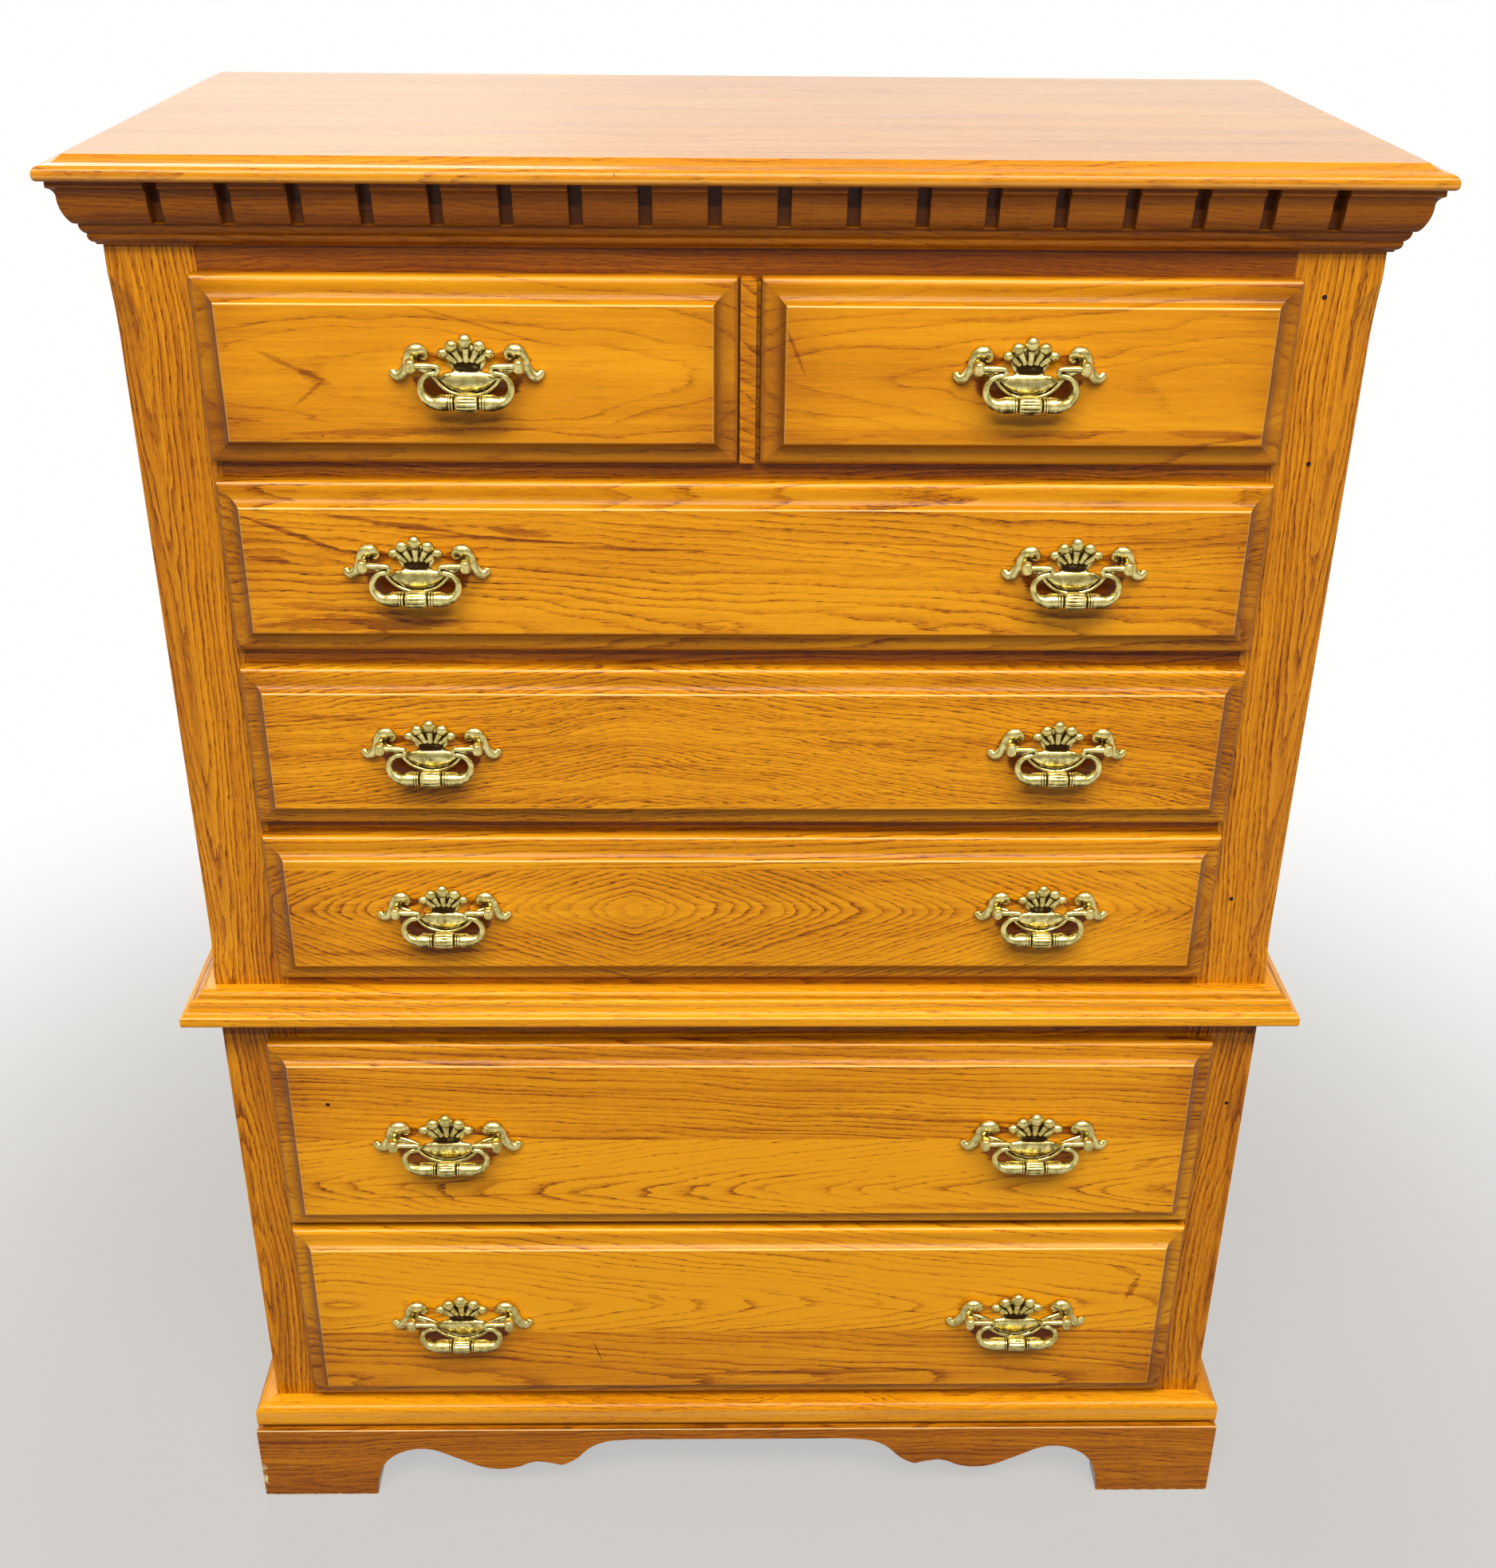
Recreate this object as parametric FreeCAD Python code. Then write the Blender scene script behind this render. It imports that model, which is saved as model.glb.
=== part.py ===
"""Chest on chest in oak: an upper case of two small and three wide drawers on a lower case of two
deep drawers, with a dentil crown, a waist moulding, a scalloped bracket base and brass bail pulls.
Millimetres. +X to the right of someone facing the chest, +Y to its back, +Z up, feet on Z = 0.
"""
import FreeCAD, Part
import math
import os

V = FreeCAD.Vector
os.makedirs("parts", exist_ok=True)

# ---------------------------------------------------------------- heights, from the floor up
BASE_HEIGHT = 88.0          # bracket base
LOWER_FOOT_FACE = 40.2      # plain face under the lowest drawer
DRAWER_6_TALL = 205.9
GAP_56 = 7.2
DRAWER_5_TALL = 201.3
LOWER_HEAD_FACE = 47.4      # plain face over the deep drawers, up to the seat of the upper case
UPPER_FOOT_FACE = 20.6
DRAWER_4_TALL = 138.2
GAP_34 = 12.5
DRAWER_3_TALL = 137.2
GAP_23 = 15.1
DRAWER_2_TALL = 135.8
GAP_12 = 14.2
DRAWER_1_TALL = 135.8
FRIEZE_TALL = 65.1          # plain face over the small drawers, behind the crown moulding
TOP_THICK = 15.7

# ---------------------------------------------------------------- widths and depths of the cases
CASE_HALF = 451.0           # half width of both cases
CASE_DEPTH = 437.0          # case front plane to its back
TOP_OVERHANG = 31.5         # at the front and at both sides
TOP_EDGE_RUN = 17.1         # moulded part of that overhang
SIDE_THICK = 19.0
BACK_THICK = 6.0
FRAME_DEPTH = 22.0          # face frame, front to back
STILE_WIDTH = 63.5
RAIL_LAP = 5.0              # how far a drawer front covers the rail above and below it
UPPER_LAP = 6.0             # how far the upper drawer fronts cover the stiles
LOWER_LAP = 25.5            # the same for the lower ones
BOARD_THICK = 12.0          # dust boards and case floors
GUIDE_HEIGHT = 20.0         # wooden guides beside the drawer boxes
GUIDE_SETBACK = 0.5         # guide face behind the edge of the stile
DIVIDER_WIDTH = 22.0        # upright between the two small drawers
STRIP_HALF = 5.9            # proud strip on the divider
STRIP_OUT = 9.5
STRIP_SHORT = 0.8           # strip ends below the top of the small drawers
SMALL_GAP_LEFT = 0.9        # left small drawer to the strip
SMALL_GAP_RIGHT = 2.8       # right small drawer to the strip

# ---------------------------------------------------------------- corner chamfer of the upper stiles
CHAMFER_FACE = 23.5         # width across the front face
CHAMFER_SIDE = 7.0          # width across the side face
CHAMFER_TOP_DROP = 66.5     # end of the upper stop, below the top of the case
CHAMFER_TOP_RUN = 50.0      # length of the upper stop
CHAMFER_FOOT_RISE = 21.0    # end of the lower stop, above the seat
CHAMFER_FOOT_RUN = 44.0
STOP_SWELL = (0.72, 0.42)   # middle of a stop's curve, as shares of its depth and of its run

# ---------------------------------------------------------------- drawer fronts
LIP_GAP = 0.4               # back of the front to the face frame
LIP_OUT = 9.3               # lip edge in front of the case
BEAD_RUN = 5.2              # small bead behind the lip edge
BEAD_OUT = 12.0
COVE_START = 6.2
COVE_OUT = 11.0
FIELD_INSET = 19.0
FIELD_OUT = 19.0
COVE_BOW = 0.16             # bow of the cove and of the bead, as shares of their chords
BEAD_BOW = -0.13

# ---------------------------------------------------------------- drawer boxes
BOX_WALL = 12.0
BOX_FRONT = 14.0
BOX_BACK_ROOM = 26.4        # box to the back panel
BOX_SIDE_PLAY = 2.0         # each side
BOX_TOP_PLAY = 6.0
BOX_FOOT_PLAY = 0.4         # box above its runner board
BOTTOM_THICK = 6.0
BOTTOM_RISE = 9.0           # drawer bottom above the lower edge of the sides
GROOVE_DEPTH = 6.0
GROOVE_PLAY = 0.3

# ---------------------------------------------------------------- pulls
# Plates, posts and the width of the bails are those of the upper pulls; the lower ones are larger by
# LOWER_PULL. Both sizes hang on bails of the same drop and with the same turned grip.
UPPER_PULL = 1.0            # size factor of the pulls above the waist
LOWER_PULL = 1.19           # size factor of the pulls below it
POST_HALF = 38.1            # half of the distance between the two posts
PULL_RISE = 10.0            # bail axis above the middle of the front
UPPER_PULL_INSET = 146.5    # middle of a pull from the end of a wide upper front
LOWER_PULL_INSET = 152.5
PLATE_THICK = 2.4
AXIS_OUT = 13.6             # bail axis in front of the drawer field
BARREL_R = 4.6
BARREL_WIDTH = 7.4
BARREL_BLIND = 1.0          # left closed at the outer end of the barrel's bore
COLLAR_R = 3.7
ROD_R = 2.1                 # bail rod, also its pins
PIN_PLAY = 0.3              # radial play of the bail pin in its barrel
PIN_SHY = 1.8               # pin ends this far short of the barrel's outer face
TURN_X = 21.5               # where each pin turns back under itself
CURL_R = 2.5                # radius of that turn
SWELL_RUN = 4.5             # length of the grip bar's tapered ends
BAR_R = 4.7
NECK_R = 4.4
RING_R = 5.6
RING_INNER = 8.4
RING_OUTER = 11.6
RING_SLOPE = 0.6
BALL_HALF = 7.2             # half of the length of the ball
BALL_R = 7.2
BAIL_DROP = 26.2            # bail axis to the middle of the grip bar
SHANK_R = 3.0
SHANK_PLAY = 0.25
SHANK_END = 5.0             # shank past the inner front
NUT_R = 6.5
NUT_THICK = 3.5

# Outlines of the cast back plate, as shares of the half distance between its posts.
CRESCENT = [((-0.367, -0.583), (0.0, -0.646)),
            ((0.367, -0.583), (0.682, -0.325)),
            ((0.367, -0.199), (0.236, -0.026)),
            ((0.0, 0.063), (-0.236, -0.026)),
            ((-0.367, -0.199), (-0.682, -0.325))]
CRESCENT_PROUD = 0.031
LOBES = [(0.0, 0.525, 0.087), (0.199, 0.420, 0.079), (0.362, 0.231, 0.076)]   # x, z, tip radius
LOBE_ROOT = (0.12, -0.131, 0.034)     # share of the tip's x, z, radius
LOBE_SUNK = 0.021
LEAF_DISCS = [(1.0, 0.039, 0.226, 0.0), (0.974, 0.241, 0.147, 0.042),
              (0.719, 0.199, 0.089, 0.016), (1.370, -0.189, 0.131, 0.021)]    # x, z, radius, proud
LEAF_LINKS = [[(0.682, 0.121), (0.945, 0.157), (0.945, -0.105), (0.761, -0.052)],
              [(1.102, 0.157), (1.365, -0.063), (1.365, -0.315), (0.945, -0.168)],
              [(0.892, -0.026), (0.892, -0.157), (0.525, -0.341), (0.420, -0.210)]]

# ---------------------------------------------------------------- mouldings
# Profiles run from the top of a moulding down its face, as shares of its reach and of its height.
TOP_EDGE = [((0.327, 0.248), (0.713, 0.344)),
            ((0.947, 0.510), (1.0, 0.777)),
            ((0.971, 0.911), (0.889, 1.0))]
CROWN = [((1.0, 0.0),), ((1.0, 0.105),),
         ((0.870, 0.153), (0.806, 0.243)), ((0.751, 0.452), (0.601, 0.622)),
         ((0.538, 0.656),), ((0.451, 0.656),),
         ((0.411, 0.759), (0.308, 0.819)), ((0.292, 0.819),),
         ((0.277, 0.910), (0.158, 0.961)), ((0.119, 1.0),), ((0.0, 1.0),)]
WAIST = [((0.208, 0.018),),
         ((0.396, 0.068), (0.475, 0.182)), ((0.506, 0.182),),
         ((0.649, 0.232), (0.702, 0.346)), ((0.725, 0.361),),
         ((0.808, 0.546), (0.981, 0.646)), ((1.0, 0.661),), ((1.0, 0.875),),
         ((0.974, 0.964), (0.883, 1.0)), ((0.0, 1.0),)]
BASE_MOULD = [((0.556, 0.013),),
              ((0.889, 0.103), (1.0, 0.307)), ((1.0, 0.6),),
              ((0.972, 0.767), (0.822, 0.88)), ((0.767, 0.88),), ((0.767, 1.0),), ((0.0, 1.0),)]
CROWN_OUT = 25.3
CROWN_HEIGHT = 46.5
WAIST_OUT = 26.5
WAIST_HEIGHT = 28.0
WAIST_RISE = 8.5            # top of the waist moulding above the seat
BASE_MOULD_OUT = 18.0
BASE_MOULD_HEIGHT = 30.0

DENTIL_COUNT = 18
DENTIL_END = 45.1           # first notch from the corner of the case
DENTIL_WIDTH = 9.3
DENTIL_TALL = 30.3
DENTIL_FLOOR_OUT = 7.0      # depth of moulding left behind a notch

# ---------------------------------------------------------------- bracket base
BASE_OUT = 20.0             # bracket face in front of the case
BRACKET_THICK = 32.0
FOOT_WIDTH = 112.0          # outer end of a bracket to its scalloped arch
BLOCK_SIZE = 38.0           # corner blocks behind the feet
BLOCK_SHY = 2.0             # front blocks end above the floor
FRONT_ARCH_RUN = 259.0      # scalloped part of the front arch at each end
FRONT_ARCH_TALL = 74.0
SIDE_ARCH_RUN = 76.5
SIDE_ARCH_TALL = 68.0
# Arcs from the foot up to the flat crown of an arch, as shares of its run and of its height.
FRONT_SCALLOP = [((0.0, 0.0), (0.007, 0.243), (0.019, 0.405)),
                 ((0.019, 0.405), (0.048, 0.622), (0.100, 0.770)),
                 ((0.100, 0.770), (0.174, 0.843), (0.249, 0.792)),
                 ((0.249, 0.792), (0.317, 0.662), (0.382, 0.541)),
                 ((0.382, 0.541), (0.471, 0.459), (0.560, 0.519)),
                 ((0.560, 0.519), (0.589, 0.573), (0.618, 0.600)),
                 ((0.618, 0.600), (0.668, 0.570), (0.710, 0.527)),
                 ((0.710, 0.527), (0.757, 0.614), (0.795, 0.750)),
                 ((0.795, 0.750), (0.849, 0.911), (0.931, 0.984)),
                 ((0.931, 0.984), (0.965, 0.997), (1.0, 1.0))]
SIDE_SCALLOP = [((0.0, 0.0), (0.024, 0.265), (0.065, 0.441)),
                ((0.065, 0.441), (0.170, 0.647), (0.346, 0.765)),
                ((0.346, 0.765), (0.529, 0.818), (0.686, 0.794)),
                ((0.686, 0.794), (0.817, 0.912), (1.0, 1.0))]

# ---------------------------------------------------------------- places that follow from the sizes
def row_above(z, gap, tall):
    """Bottom and top of a drawer front that stands a gap above z."""
    return (z + gap, z + gap + tall)


ROW_6 = row_above(BASE_HEIGHT, LOWER_FOOT_FACE, DRAWER_6_TALL)
ROW_5 = row_above(ROW_6[1], GAP_56, DRAWER_5_TALL)
SEAT_Z = ROW_5[1] + LOWER_HEAD_FACE          # where the upper case rests on the lower case
ROW_4 = row_above(SEAT_Z, UPPER_FOOT_FACE, DRAWER_4_TALL)
ROW_3 = row_above(ROW_4[1], GAP_34, DRAWER_3_TALL)
ROW_2 = row_above(ROW_3[1], GAP_23, DRAWER_2_TALL)
ROW_1 = row_above(ROW_2[1], GAP_12, DRAWER_1_TALL)
CASE_TOP = ROW_1[1] + FRIEZE_TALL
HEIGHT = CASE_TOP + TOP_THICK

PULL_REACH = FIELD_OUT + AXIS_OUT * LOWER_PULL + BALL_R
FRONT = -(CASE_DEPTH - PULL_REACH) / 2.0     # Y of the case front plane; centres the bounding box
BACK = FRONT + CASE_DEPTH
FRAME_BACK = FRONT + FRAME_DEPTH
PANEL_FRONT = BACK - BACK_THICK
FIELD_Y = FRONT - FIELD_OUT
OPEN_HALF = CASE_HALF - STILE_WIDTH          # half width between the stiles
INNER_HALF = CASE_HALF - SIDE_THICK
UPPER_HALF = OPEN_HALF + UPPER_LAP           # half widths of the wide fronts
LOWER_HALF = OPEN_HALF + LOWER_LAP

RAIL_12 = (ROW_2[1] - RAIL_LAP, ROW_1[0] + RAIL_LAP)
RAIL_23 = (ROW_3[1] - RAIL_LAP, ROW_2[0] + RAIL_LAP)
RAIL_34 = (ROW_4[1] - RAIL_LAP, ROW_3[0] + RAIL_LAP)
RAIL_56 = (ROW_6[1] - RAIL_LAP, ROW_5[0] + RAIL_LAP)
UPPER_TOP_RAIL = (ROW_1[1] - RAIL_LAP, CASE_TOP)
UPPER_FOOT_RAIL = (SEAT_Z, ROW_4[0] + RAIL_LAP)
LOWER_TOP_RAIL = (ROW_5[1] - RAIL_LAP, SEAT_Z)
LOWER_FOOT_RAIL = (BASE_HEIGHT, ROW_6[0] + RAIL_LAP)

PAST = 5.0                                   # how far a cutting tool runs past the wood
FAR = 2.0 * TOP_OVERHANG                     # further out than any moulding or pull reaches


# ---------------------------------------------------------------- helpers
def box(x0, x1, y0, y1, z0, z1):
    return Part.makeBox(x1 - x0, y1 - y0, z1 - z0, V(x0, y0, z0))


def cylinder(radius, length, start, axis):
    return Part.makeCylinder(radius, length, start, axis)


def mirror_x(shape):
    return shape.mirror(V(0, 0, 0), V(1, 0, 0))


def moved(shape, x, z):
    copy = shape.copy()
    copy.translate(V(x, 0, z))
    return copy


def outline(start, steps, place):
    """Closed face from a start point and steps: (point,) is a line, (mid, point) an arc."""
    edges = []
    here = start
    for step in steps:
        if len(step) == 1:
            edges.append(Part.makeLine(place(here), place(step[0])))
        else:
            edges.append(Part.Arc(place(here), place(step[0]), place(step[1])).toShape())
        here = step[-1]
    if here != start:
        edges.append(Part.makeLine(place(here), place(start)))
    return Part.Face(Part.Wire(edges))


def bowed(a, b, share):
    """Middle point of an arc from a to b that bows to its left by a share of the chord."""
    dx = b[0] - a[0]
    dy = b[1] - a[1]
    return ((a[0] + b[0]) / 2.0 - dy * share, (a[1] + b[1]) / 2.0 + dx * share)


def plan_prism(points, z0, z1):
    corners = [V(x, y, z0) for x, y in points]
    wire = Part.makePolygon(corners + [corners[0]])
    return Part.Face(wire).extrude(V(0, 0, z1 - z0))


def sized(profile, reach, height, top, inner=0.0):
    """Profile in shares turned into distances out from the case and heights."""
    return [tuple((inner + a * reach, top - b * height) for a, b in step) for step in profile]


def wrapped_moulding(start, steps, z0, z1):
    """Moulding mitred round the front and both sides; its profile is (distance out, height)."""
    half = CASE_HALF
    front_face = outline(start, steps, lambda q: V(-half - FAR, FRONT - q[0], q[1]))
    front = front_face.extrude(V(2 * (half + FAR), 0, 0))
    front_zone = [(-half - FAR, FRONT - FAR), (half + FAR, FRONT - FAR), (half, FRONT), (-half, FRONT)]
    front = front.common(plan_prism(front_zone, z0 - PAST, z1 + PAST))
    side_face = outline(start, steps, lambda q: V(half + q[0], FRONT - FAR, q[1]))
    side = side_face.extrude(V(0, BACK - FRONT + FAR, 0))
    side_zone = [(half, FRONT), (half + FAR, FRONT - FAR), (half + FAR, BACK), (half, BACK)]
    side = side.common(plan_prism(side_zone, z0 - PAST, z1 + PAST))
    return front.fuse([side, mirror_x(side)]).removeSplitter()


def save(name, shape):
    solids = shape.Solids
    result = solids[0] if len(solids) == 1 else Part.makeCompound(solids)
    result.exportStep("parts/" + name + ".step")
    print(name, len(solids), round(shape.Volume / 1000.0, 1), shape.isValid())


# ---------------------------------------------------------------- top and mouldings
def top_panel():
    steps = sized(TOP_EDGE, TOP_EDGE_RUN, TOP_THICK, HEIGHT, TOP_OVERHANG - TOP_EDGE_RUN)
    steps = [((TOP_OVERHANG - TOP_EDGE_RUN, HEIGHT),)] + steps + [((0.0, CASE_TOP),)]
    rim = wrapped_moulding((0.0, HEIGHT), steps, CASE_TOP, HEIGHT)
    middle = box(-CASE_HALF, CASE_HALF, FRONT, BACK, CASE_TOP, HEIGHT)
    return middle.fuse(rim).removeSplitter()


def front_notch(x):
    return box(x - DENTIL_WIDTH / 2.0, x + DENTIL_WIDTH / 2.0, FRONT - FAR, FRONT - DENTIL_FLOOR_OUT,
               CASE_TOP - DENTIL_TALL, CASE_TOP + PAST)


def side_notch(y):
    return box(CASE_HALF + DENTIL_FLOOR_OUT, CASE_HALF + FAR, y - DENTIL_WIDTH / 2.0,
               y + DENTIL_WIDTH / 2.0, CASE_TOP - DENTIL_TALL, CASE_TOP + PAST)


def crown_moulding():
    steps = sized(CROWN, CROWN_OUT, CROWN_HEIGHT, CASE_TOP)
    body = wrapped_moulding((0.0, CASE_TOP), steps, CASE_TOP - CROWN_HEIGHT, CASE_TOP)
    first = CASE_HALF - DENTIL_END
    pitch = 2.0 * first / (DENTIL_COUNT - 1)
    tools = [front_notch(k * pitch - first) for k in range(DENTIL_COUNT)]
    for k in range(1 + int((CASE_DEPTH - DENTIL_END) / pitch)):
        notch = side_notch(FRONT + DENTIL_END + k * pitch)
        tools += [notch, mirror_x(notch)]
    return body.cut(tools)


def waist_moulding():
    top = SEAT_Z + WAIST_RISE
    steps = sized(WAIST, WAIST_OUT, WAIST_HEIGHT, top)
    return wrapped_moulding((0.0, top), steps, top - WAIST_HEIGHT, top)


def base_moulding():
    top = BASE_HEIGHT + BASE_MOULD_HEIGHT
    steps = sized(BASE_MOULD, BASE_MOULD_OUT, BASE_MOULD_HEIGHT, top)
    return wrapped_moulding((0.0, top), steps, BASE_HEIGHT, top)


# ---------------------------------------------------------------- bracket base
def arch_tool(scallop, half_span, run, tall, place, sweep):
    """Scalloped cut-out under a bracket, mirrored about its middle and open at the floor."""
    def arcs(sign):
        return [Part.Arc(*[place((sign * (half_span - a * run), b * tall)) for a, b in arc]).toShape()
                for arc in scallop]
    crown = half_span - run
    corners = [(half_span, 0.0), (half_span, -PAST), (-half_span, -PAST), (-half_span, 0.0)]
    closing = [Part.makeLine(place(p), place(q)) for p, q in zip(corners, corners[1:])]
    closing.append(Part.makeLine(place((crown, tall)), place((-crown, tall))))
    ordered = Part.sortEdges(arcs(1) + arcs(-1) + closing)[0]
    return Part.Face(Part.Wire(ordered)).extrude(sweep)


def bracket_front():
    outer = CASE_HALF + BASE_OUT
    inner = outer - BRACKET_THICK
    y_inner = FRONT - BASE_OUT + BRACKET_THICK
    zone = [(-outer, FRONT - BASE_OUT), (outer, FRONT - BASE_OUT), (inner, y_inner), (-inner, y_inner)]
    arch = arch_tool(FRONT_SCALLOP, outer - FOOT_WIDTH, FRONT_ARCH_RUN, FRONT_ARCH_TALL,
                     lambda q: V(q[0], FRONT - FAR, q[1]), V(0, 2 * FAR, 0))
    return plan_prism(zone, 0.0, BASE_HEIGHT).cut(arch)


def bracket_side():
    outer = CASE_HALF + BASE_OUT
    inner = outer - BRACKET_THICK
    y_front = FRONT - BASE_OUT
    zone = [(outer, y_front), (outer, BACK), (inner, BACK), (inner, y_front + BRACKET_THICK)]
    middle = (y_front + BACK) / 2.0
    arch = arch_tool(SIDE_SCALLOP, BACK - middle - FOOT_WIDTH, SIDE_ARCH_RUN, SIDE_ARCH_TALL,
                     lambda q: V(inner - PAST, middle + q[0], q[1]), V(2 * FAR, 0, 0))
    return plan_prism(zone, 0.0, BASE_HEIGHT).cut(arch)


def corner_blocks():
    inner = CASE_HALF + BASE_OUT - BRACKET_THICK
    y_front = FRONT - BASE_OUT + BRACKET_THICK
    front = box(inner - BLOCK_SIZE, inner, y_front, y_front + BLOCK_SIZE, BLOCK_SHY, BASE_HEIGHT)
    back = box(inner - BLOCK_SIZE, inner, BACK - BLOCK_SIZE, BACK, 0.0, BASE_HEIGHT)
    return Part.makeCompound([front, back, mirror_x(front), mirror_x(back)])


# ---------------------------------------------------------------- case boards
def right_side(z0, z1):
    return box(INNER_HALF, CASE_HALF, FRAME_BACK, BACK, z0, z1)


def right_stile(z0, z1):
    return box(OPEN_HALF, CASE_HALF, FRONT, FRAME_BACK, z0, z1)


def back_panel(z0, z1):
    return box(-INNER_HALF, INNER_HALF, PANEL_FRONT, BACK, z0, z1)


def rail(span):
    return box(-OPEN_HALF, OPEN_HALF, FRONT, FRAME_BACK, span[0], span[1])


def board_under(top_z):
    return box(-INNER_HALF, INNER_HALF, FRAME_BACK, PANEL_FRONT, top_z - BOARD_THICK, top_z)


def guide_pair(floor_z):
    inner = OPEN_HALF + GUIDE_SETBACK
    right = box(inner, INNER_HALF, FRAME_BACK, PANEL_FRONT, floor_z, floor_z + GUIDE_HEIGHT)
    return [right, mirror_x(right)]


def centre_guide():
    half = DIVIDER_WIDTH / 2.0 - GUIDE_SETBACK
    return box(-half, half, FRAME_BACK, PANEL_FRONT, RAIL_12[1], RAIL_12[1] + GUIDE_HEIGHT)


def centre_divider():
    half = DIVIDER_WIDTH / 2.0
    post = box(-half, half, FRONT, FRAME_BACK, RAIL_12[1], UPPER_TOP_RAIL[0])
    strip = box(-STRIP_HALF, STRIP_HALF, FRONT - STRIP_OUT, FRONT, ROW_1[0], ROW_1[1] - STRIP_SHORT)
    return post.fuse(strip).removeSplitter()


def chamfer_tool():
    """Wedge along the outer front corner that fades out in a curved stop at each end."""
    length = math.hypot(CHAMFER_FACE, CHAMFER_SIDE)
    depth = CHAMFER_FACE * CHAMFER_SIDE / length
    along = V(CHAMFER_FACE / length, CHAMFER_SIDE / length, 0)
    inward = V(-along.y, along.x, 0)
    corner = V(CASE_HALF, FRONT, 0) - along * FAR
    top = CASE_TOP - CHAMFER_TOP_DROP
    foot = SEAT_Z + CHAMFER_FOOT_RISE
    swell = STOP_SWELL[0] * depth
    steps = [((0.0, top),),
             ((swell, top - CHAMFER_TOP_RUN * STOP_SWELL[1]), (depth, top - CHAMFER_TOP_RUN)),
             ((depth, foot + CHAMFER_FOOT_RUN),),
             ((swell, foot + CHAMFER_FOOT_RUN * STOP_SWELL[1]), (0.0, foot)),
             ((-FAR, foot),)]
    face = outline((-FAR, top), steps, lambda q: corner + inward * q[0] + V(0, 0, q[1]))
    return face.extrude(along * (2 * FAR))


# ---------------------------------------------------------------- drawers
def shank_drills(holes):
    return [cylinder(SHANK_R + SHANK_PLAY, 2 * FAR, V(x, FRONT - FAR, z), V(0, 1, 0)) for x, z in holes]


def edge_cutter(corner, along, inward, length):
    """What the moulded edge of a front takes off along one side, mitred at both ends."""
    field = (FIELD_INSET, FIELD_OUT)
    cove = (COVE_START, COVE_OUT)
    bead = (BEAD_RUN, BEAD_OUT)
    lip = (0.0, LIP_OUT)
    outer = FIELD_OUT + PAST
    steps = [((FIELD_INSET, outer),), (field,), (bowed(field, cove, COVE_BOW), cove), (bead,),
             (bowed(bead, lip, BEAD_BOW), lip), ((-PAST, LIP_OUT),)]
    start = corner - along * PAST
    face = outline((-PAST, outer), steps, lambda q: start + inward * q[0] - V(0, q[1], 0))
    cutter = face.extrude(along * (length + 2 * PAST))
    far = corner + along * length
    deep = FIELD_INSET + PAST
    ring = [corner - (along + inward) * PAST, far + (along - inward) * PAST,
            far - (along - inward) * deep, corner + (along + inward) * deep]
    ring = [p - V(0, outer, 0) for p in ring]
    zone = Part.Face(Part.makePolygon(ring + [ring[0]])).extrude(V(0, outer, 0))
    return cutter.common(zone)


def raised_front(x0, x1, z0, z1, holes):
    """Overlay front with a beaded lip, a cove and a raised field."""
    blank = box(x0, x1, FIELD_Y, FRONT - LIP_GAP, z0, z1)
    right = V(1, 0, 0)
    up = V(0, 0, 1)
    cutters = [edge_cutter(V(x0, FRONT, z0), right, up, x1 - x0),
               edge_cutter(V(x1, FRONT, z0), up, -right, z1 - z0),
               edge_cutter(V(x1, FRONT, z1), -right, -up, x1 - x0),
               edge_cutter(V(x0, FRONT, z1), -up, right, z1 - z0)]
    return blank.cut(cutters).cut(shank_drills(holes))


def drawer_box(x0, x1, z0, z1, holes):
    """Two sides, inner front, back and a bottom let into grooves, each its own solid."""
    y0 = FRONT - LIP_GAP
    y1 = PANEL_FRONT - BOX_BACK_ROOM
    inset = BOX_WALL - GROOVE_DEPTH
    y_groove = y0 + BOX_FRONT - GROOVE_DEPTH
    z_groove = z0 + BOTTOM_RISE - GROOVE_PLAY
    groove = box(x0 + inset, x1 - inset, y_groove, y1 - inset,
                 z_groove, z_groove + BOTTOM_THICK + 2 * GROOVE_PLAY)
    bottom = box(x0 + inset + GROOVE_PLAY, x1 - inset - GROOVE_PLAY, y_groove + GROOVE_PLAY,
                 y1 - inset - GROOVE_PLAY, z0 + BOTTOM_RISE, z0 + BOTTOM_RISE + BOTTOM_THICK)
    left = box(x0, x0 + BOX_WALL, y0, y1, z0, z1)
    right = box(x1 - BOX_WALL, x1, y0, y1, z0, z1)
    back = box(x0 + BOX_WALL, x1 - BOX_WALL, y1 - BOX_WALL, y1, z0, z1)
    inner_front = box(x0 + BOX_WALL, x1 - BOX_WALL, y0, y0 + BOX_FRONT, z0, z1)
    inner_front = inner_front.cut(shank_drills(holes))
    boards = [board.cut(groove) for board in (left, right, inner_front, back)]
    return Part.makeCompound(boards + [bottom])


# ---------------------------------------------------------------- pulls, about a bail axis at X = Z = 0
def lobe(tip_x, tip_z, tip_r, y):
    root_x = tip_x * LOBE_ROOT[0]
    root_z = POST_HALF * LOBE_ROOT[1]
    length = math.hypot(tip_x - root_x, tip_z - root_z)
    axis = V((tip_x - root_x) / length, 0, (tip_z - root_z) / length)
    body = Part.makeCone(POST_HALF * LOBE_ROOT[2], tip_r, length, V(root_x, y, root_z), axis)
    return body.fuse(Part.makeSphere(tip_r, V(tip_x, y, tip_z)))


def at_size(shape, size):
    """Shape scaled about the point of the drawer field behind the middle of the bail axis."""
    copy = shape.copy()
    copy.scale(size, V(0, FIELD_Y, 0))
    return copy


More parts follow.
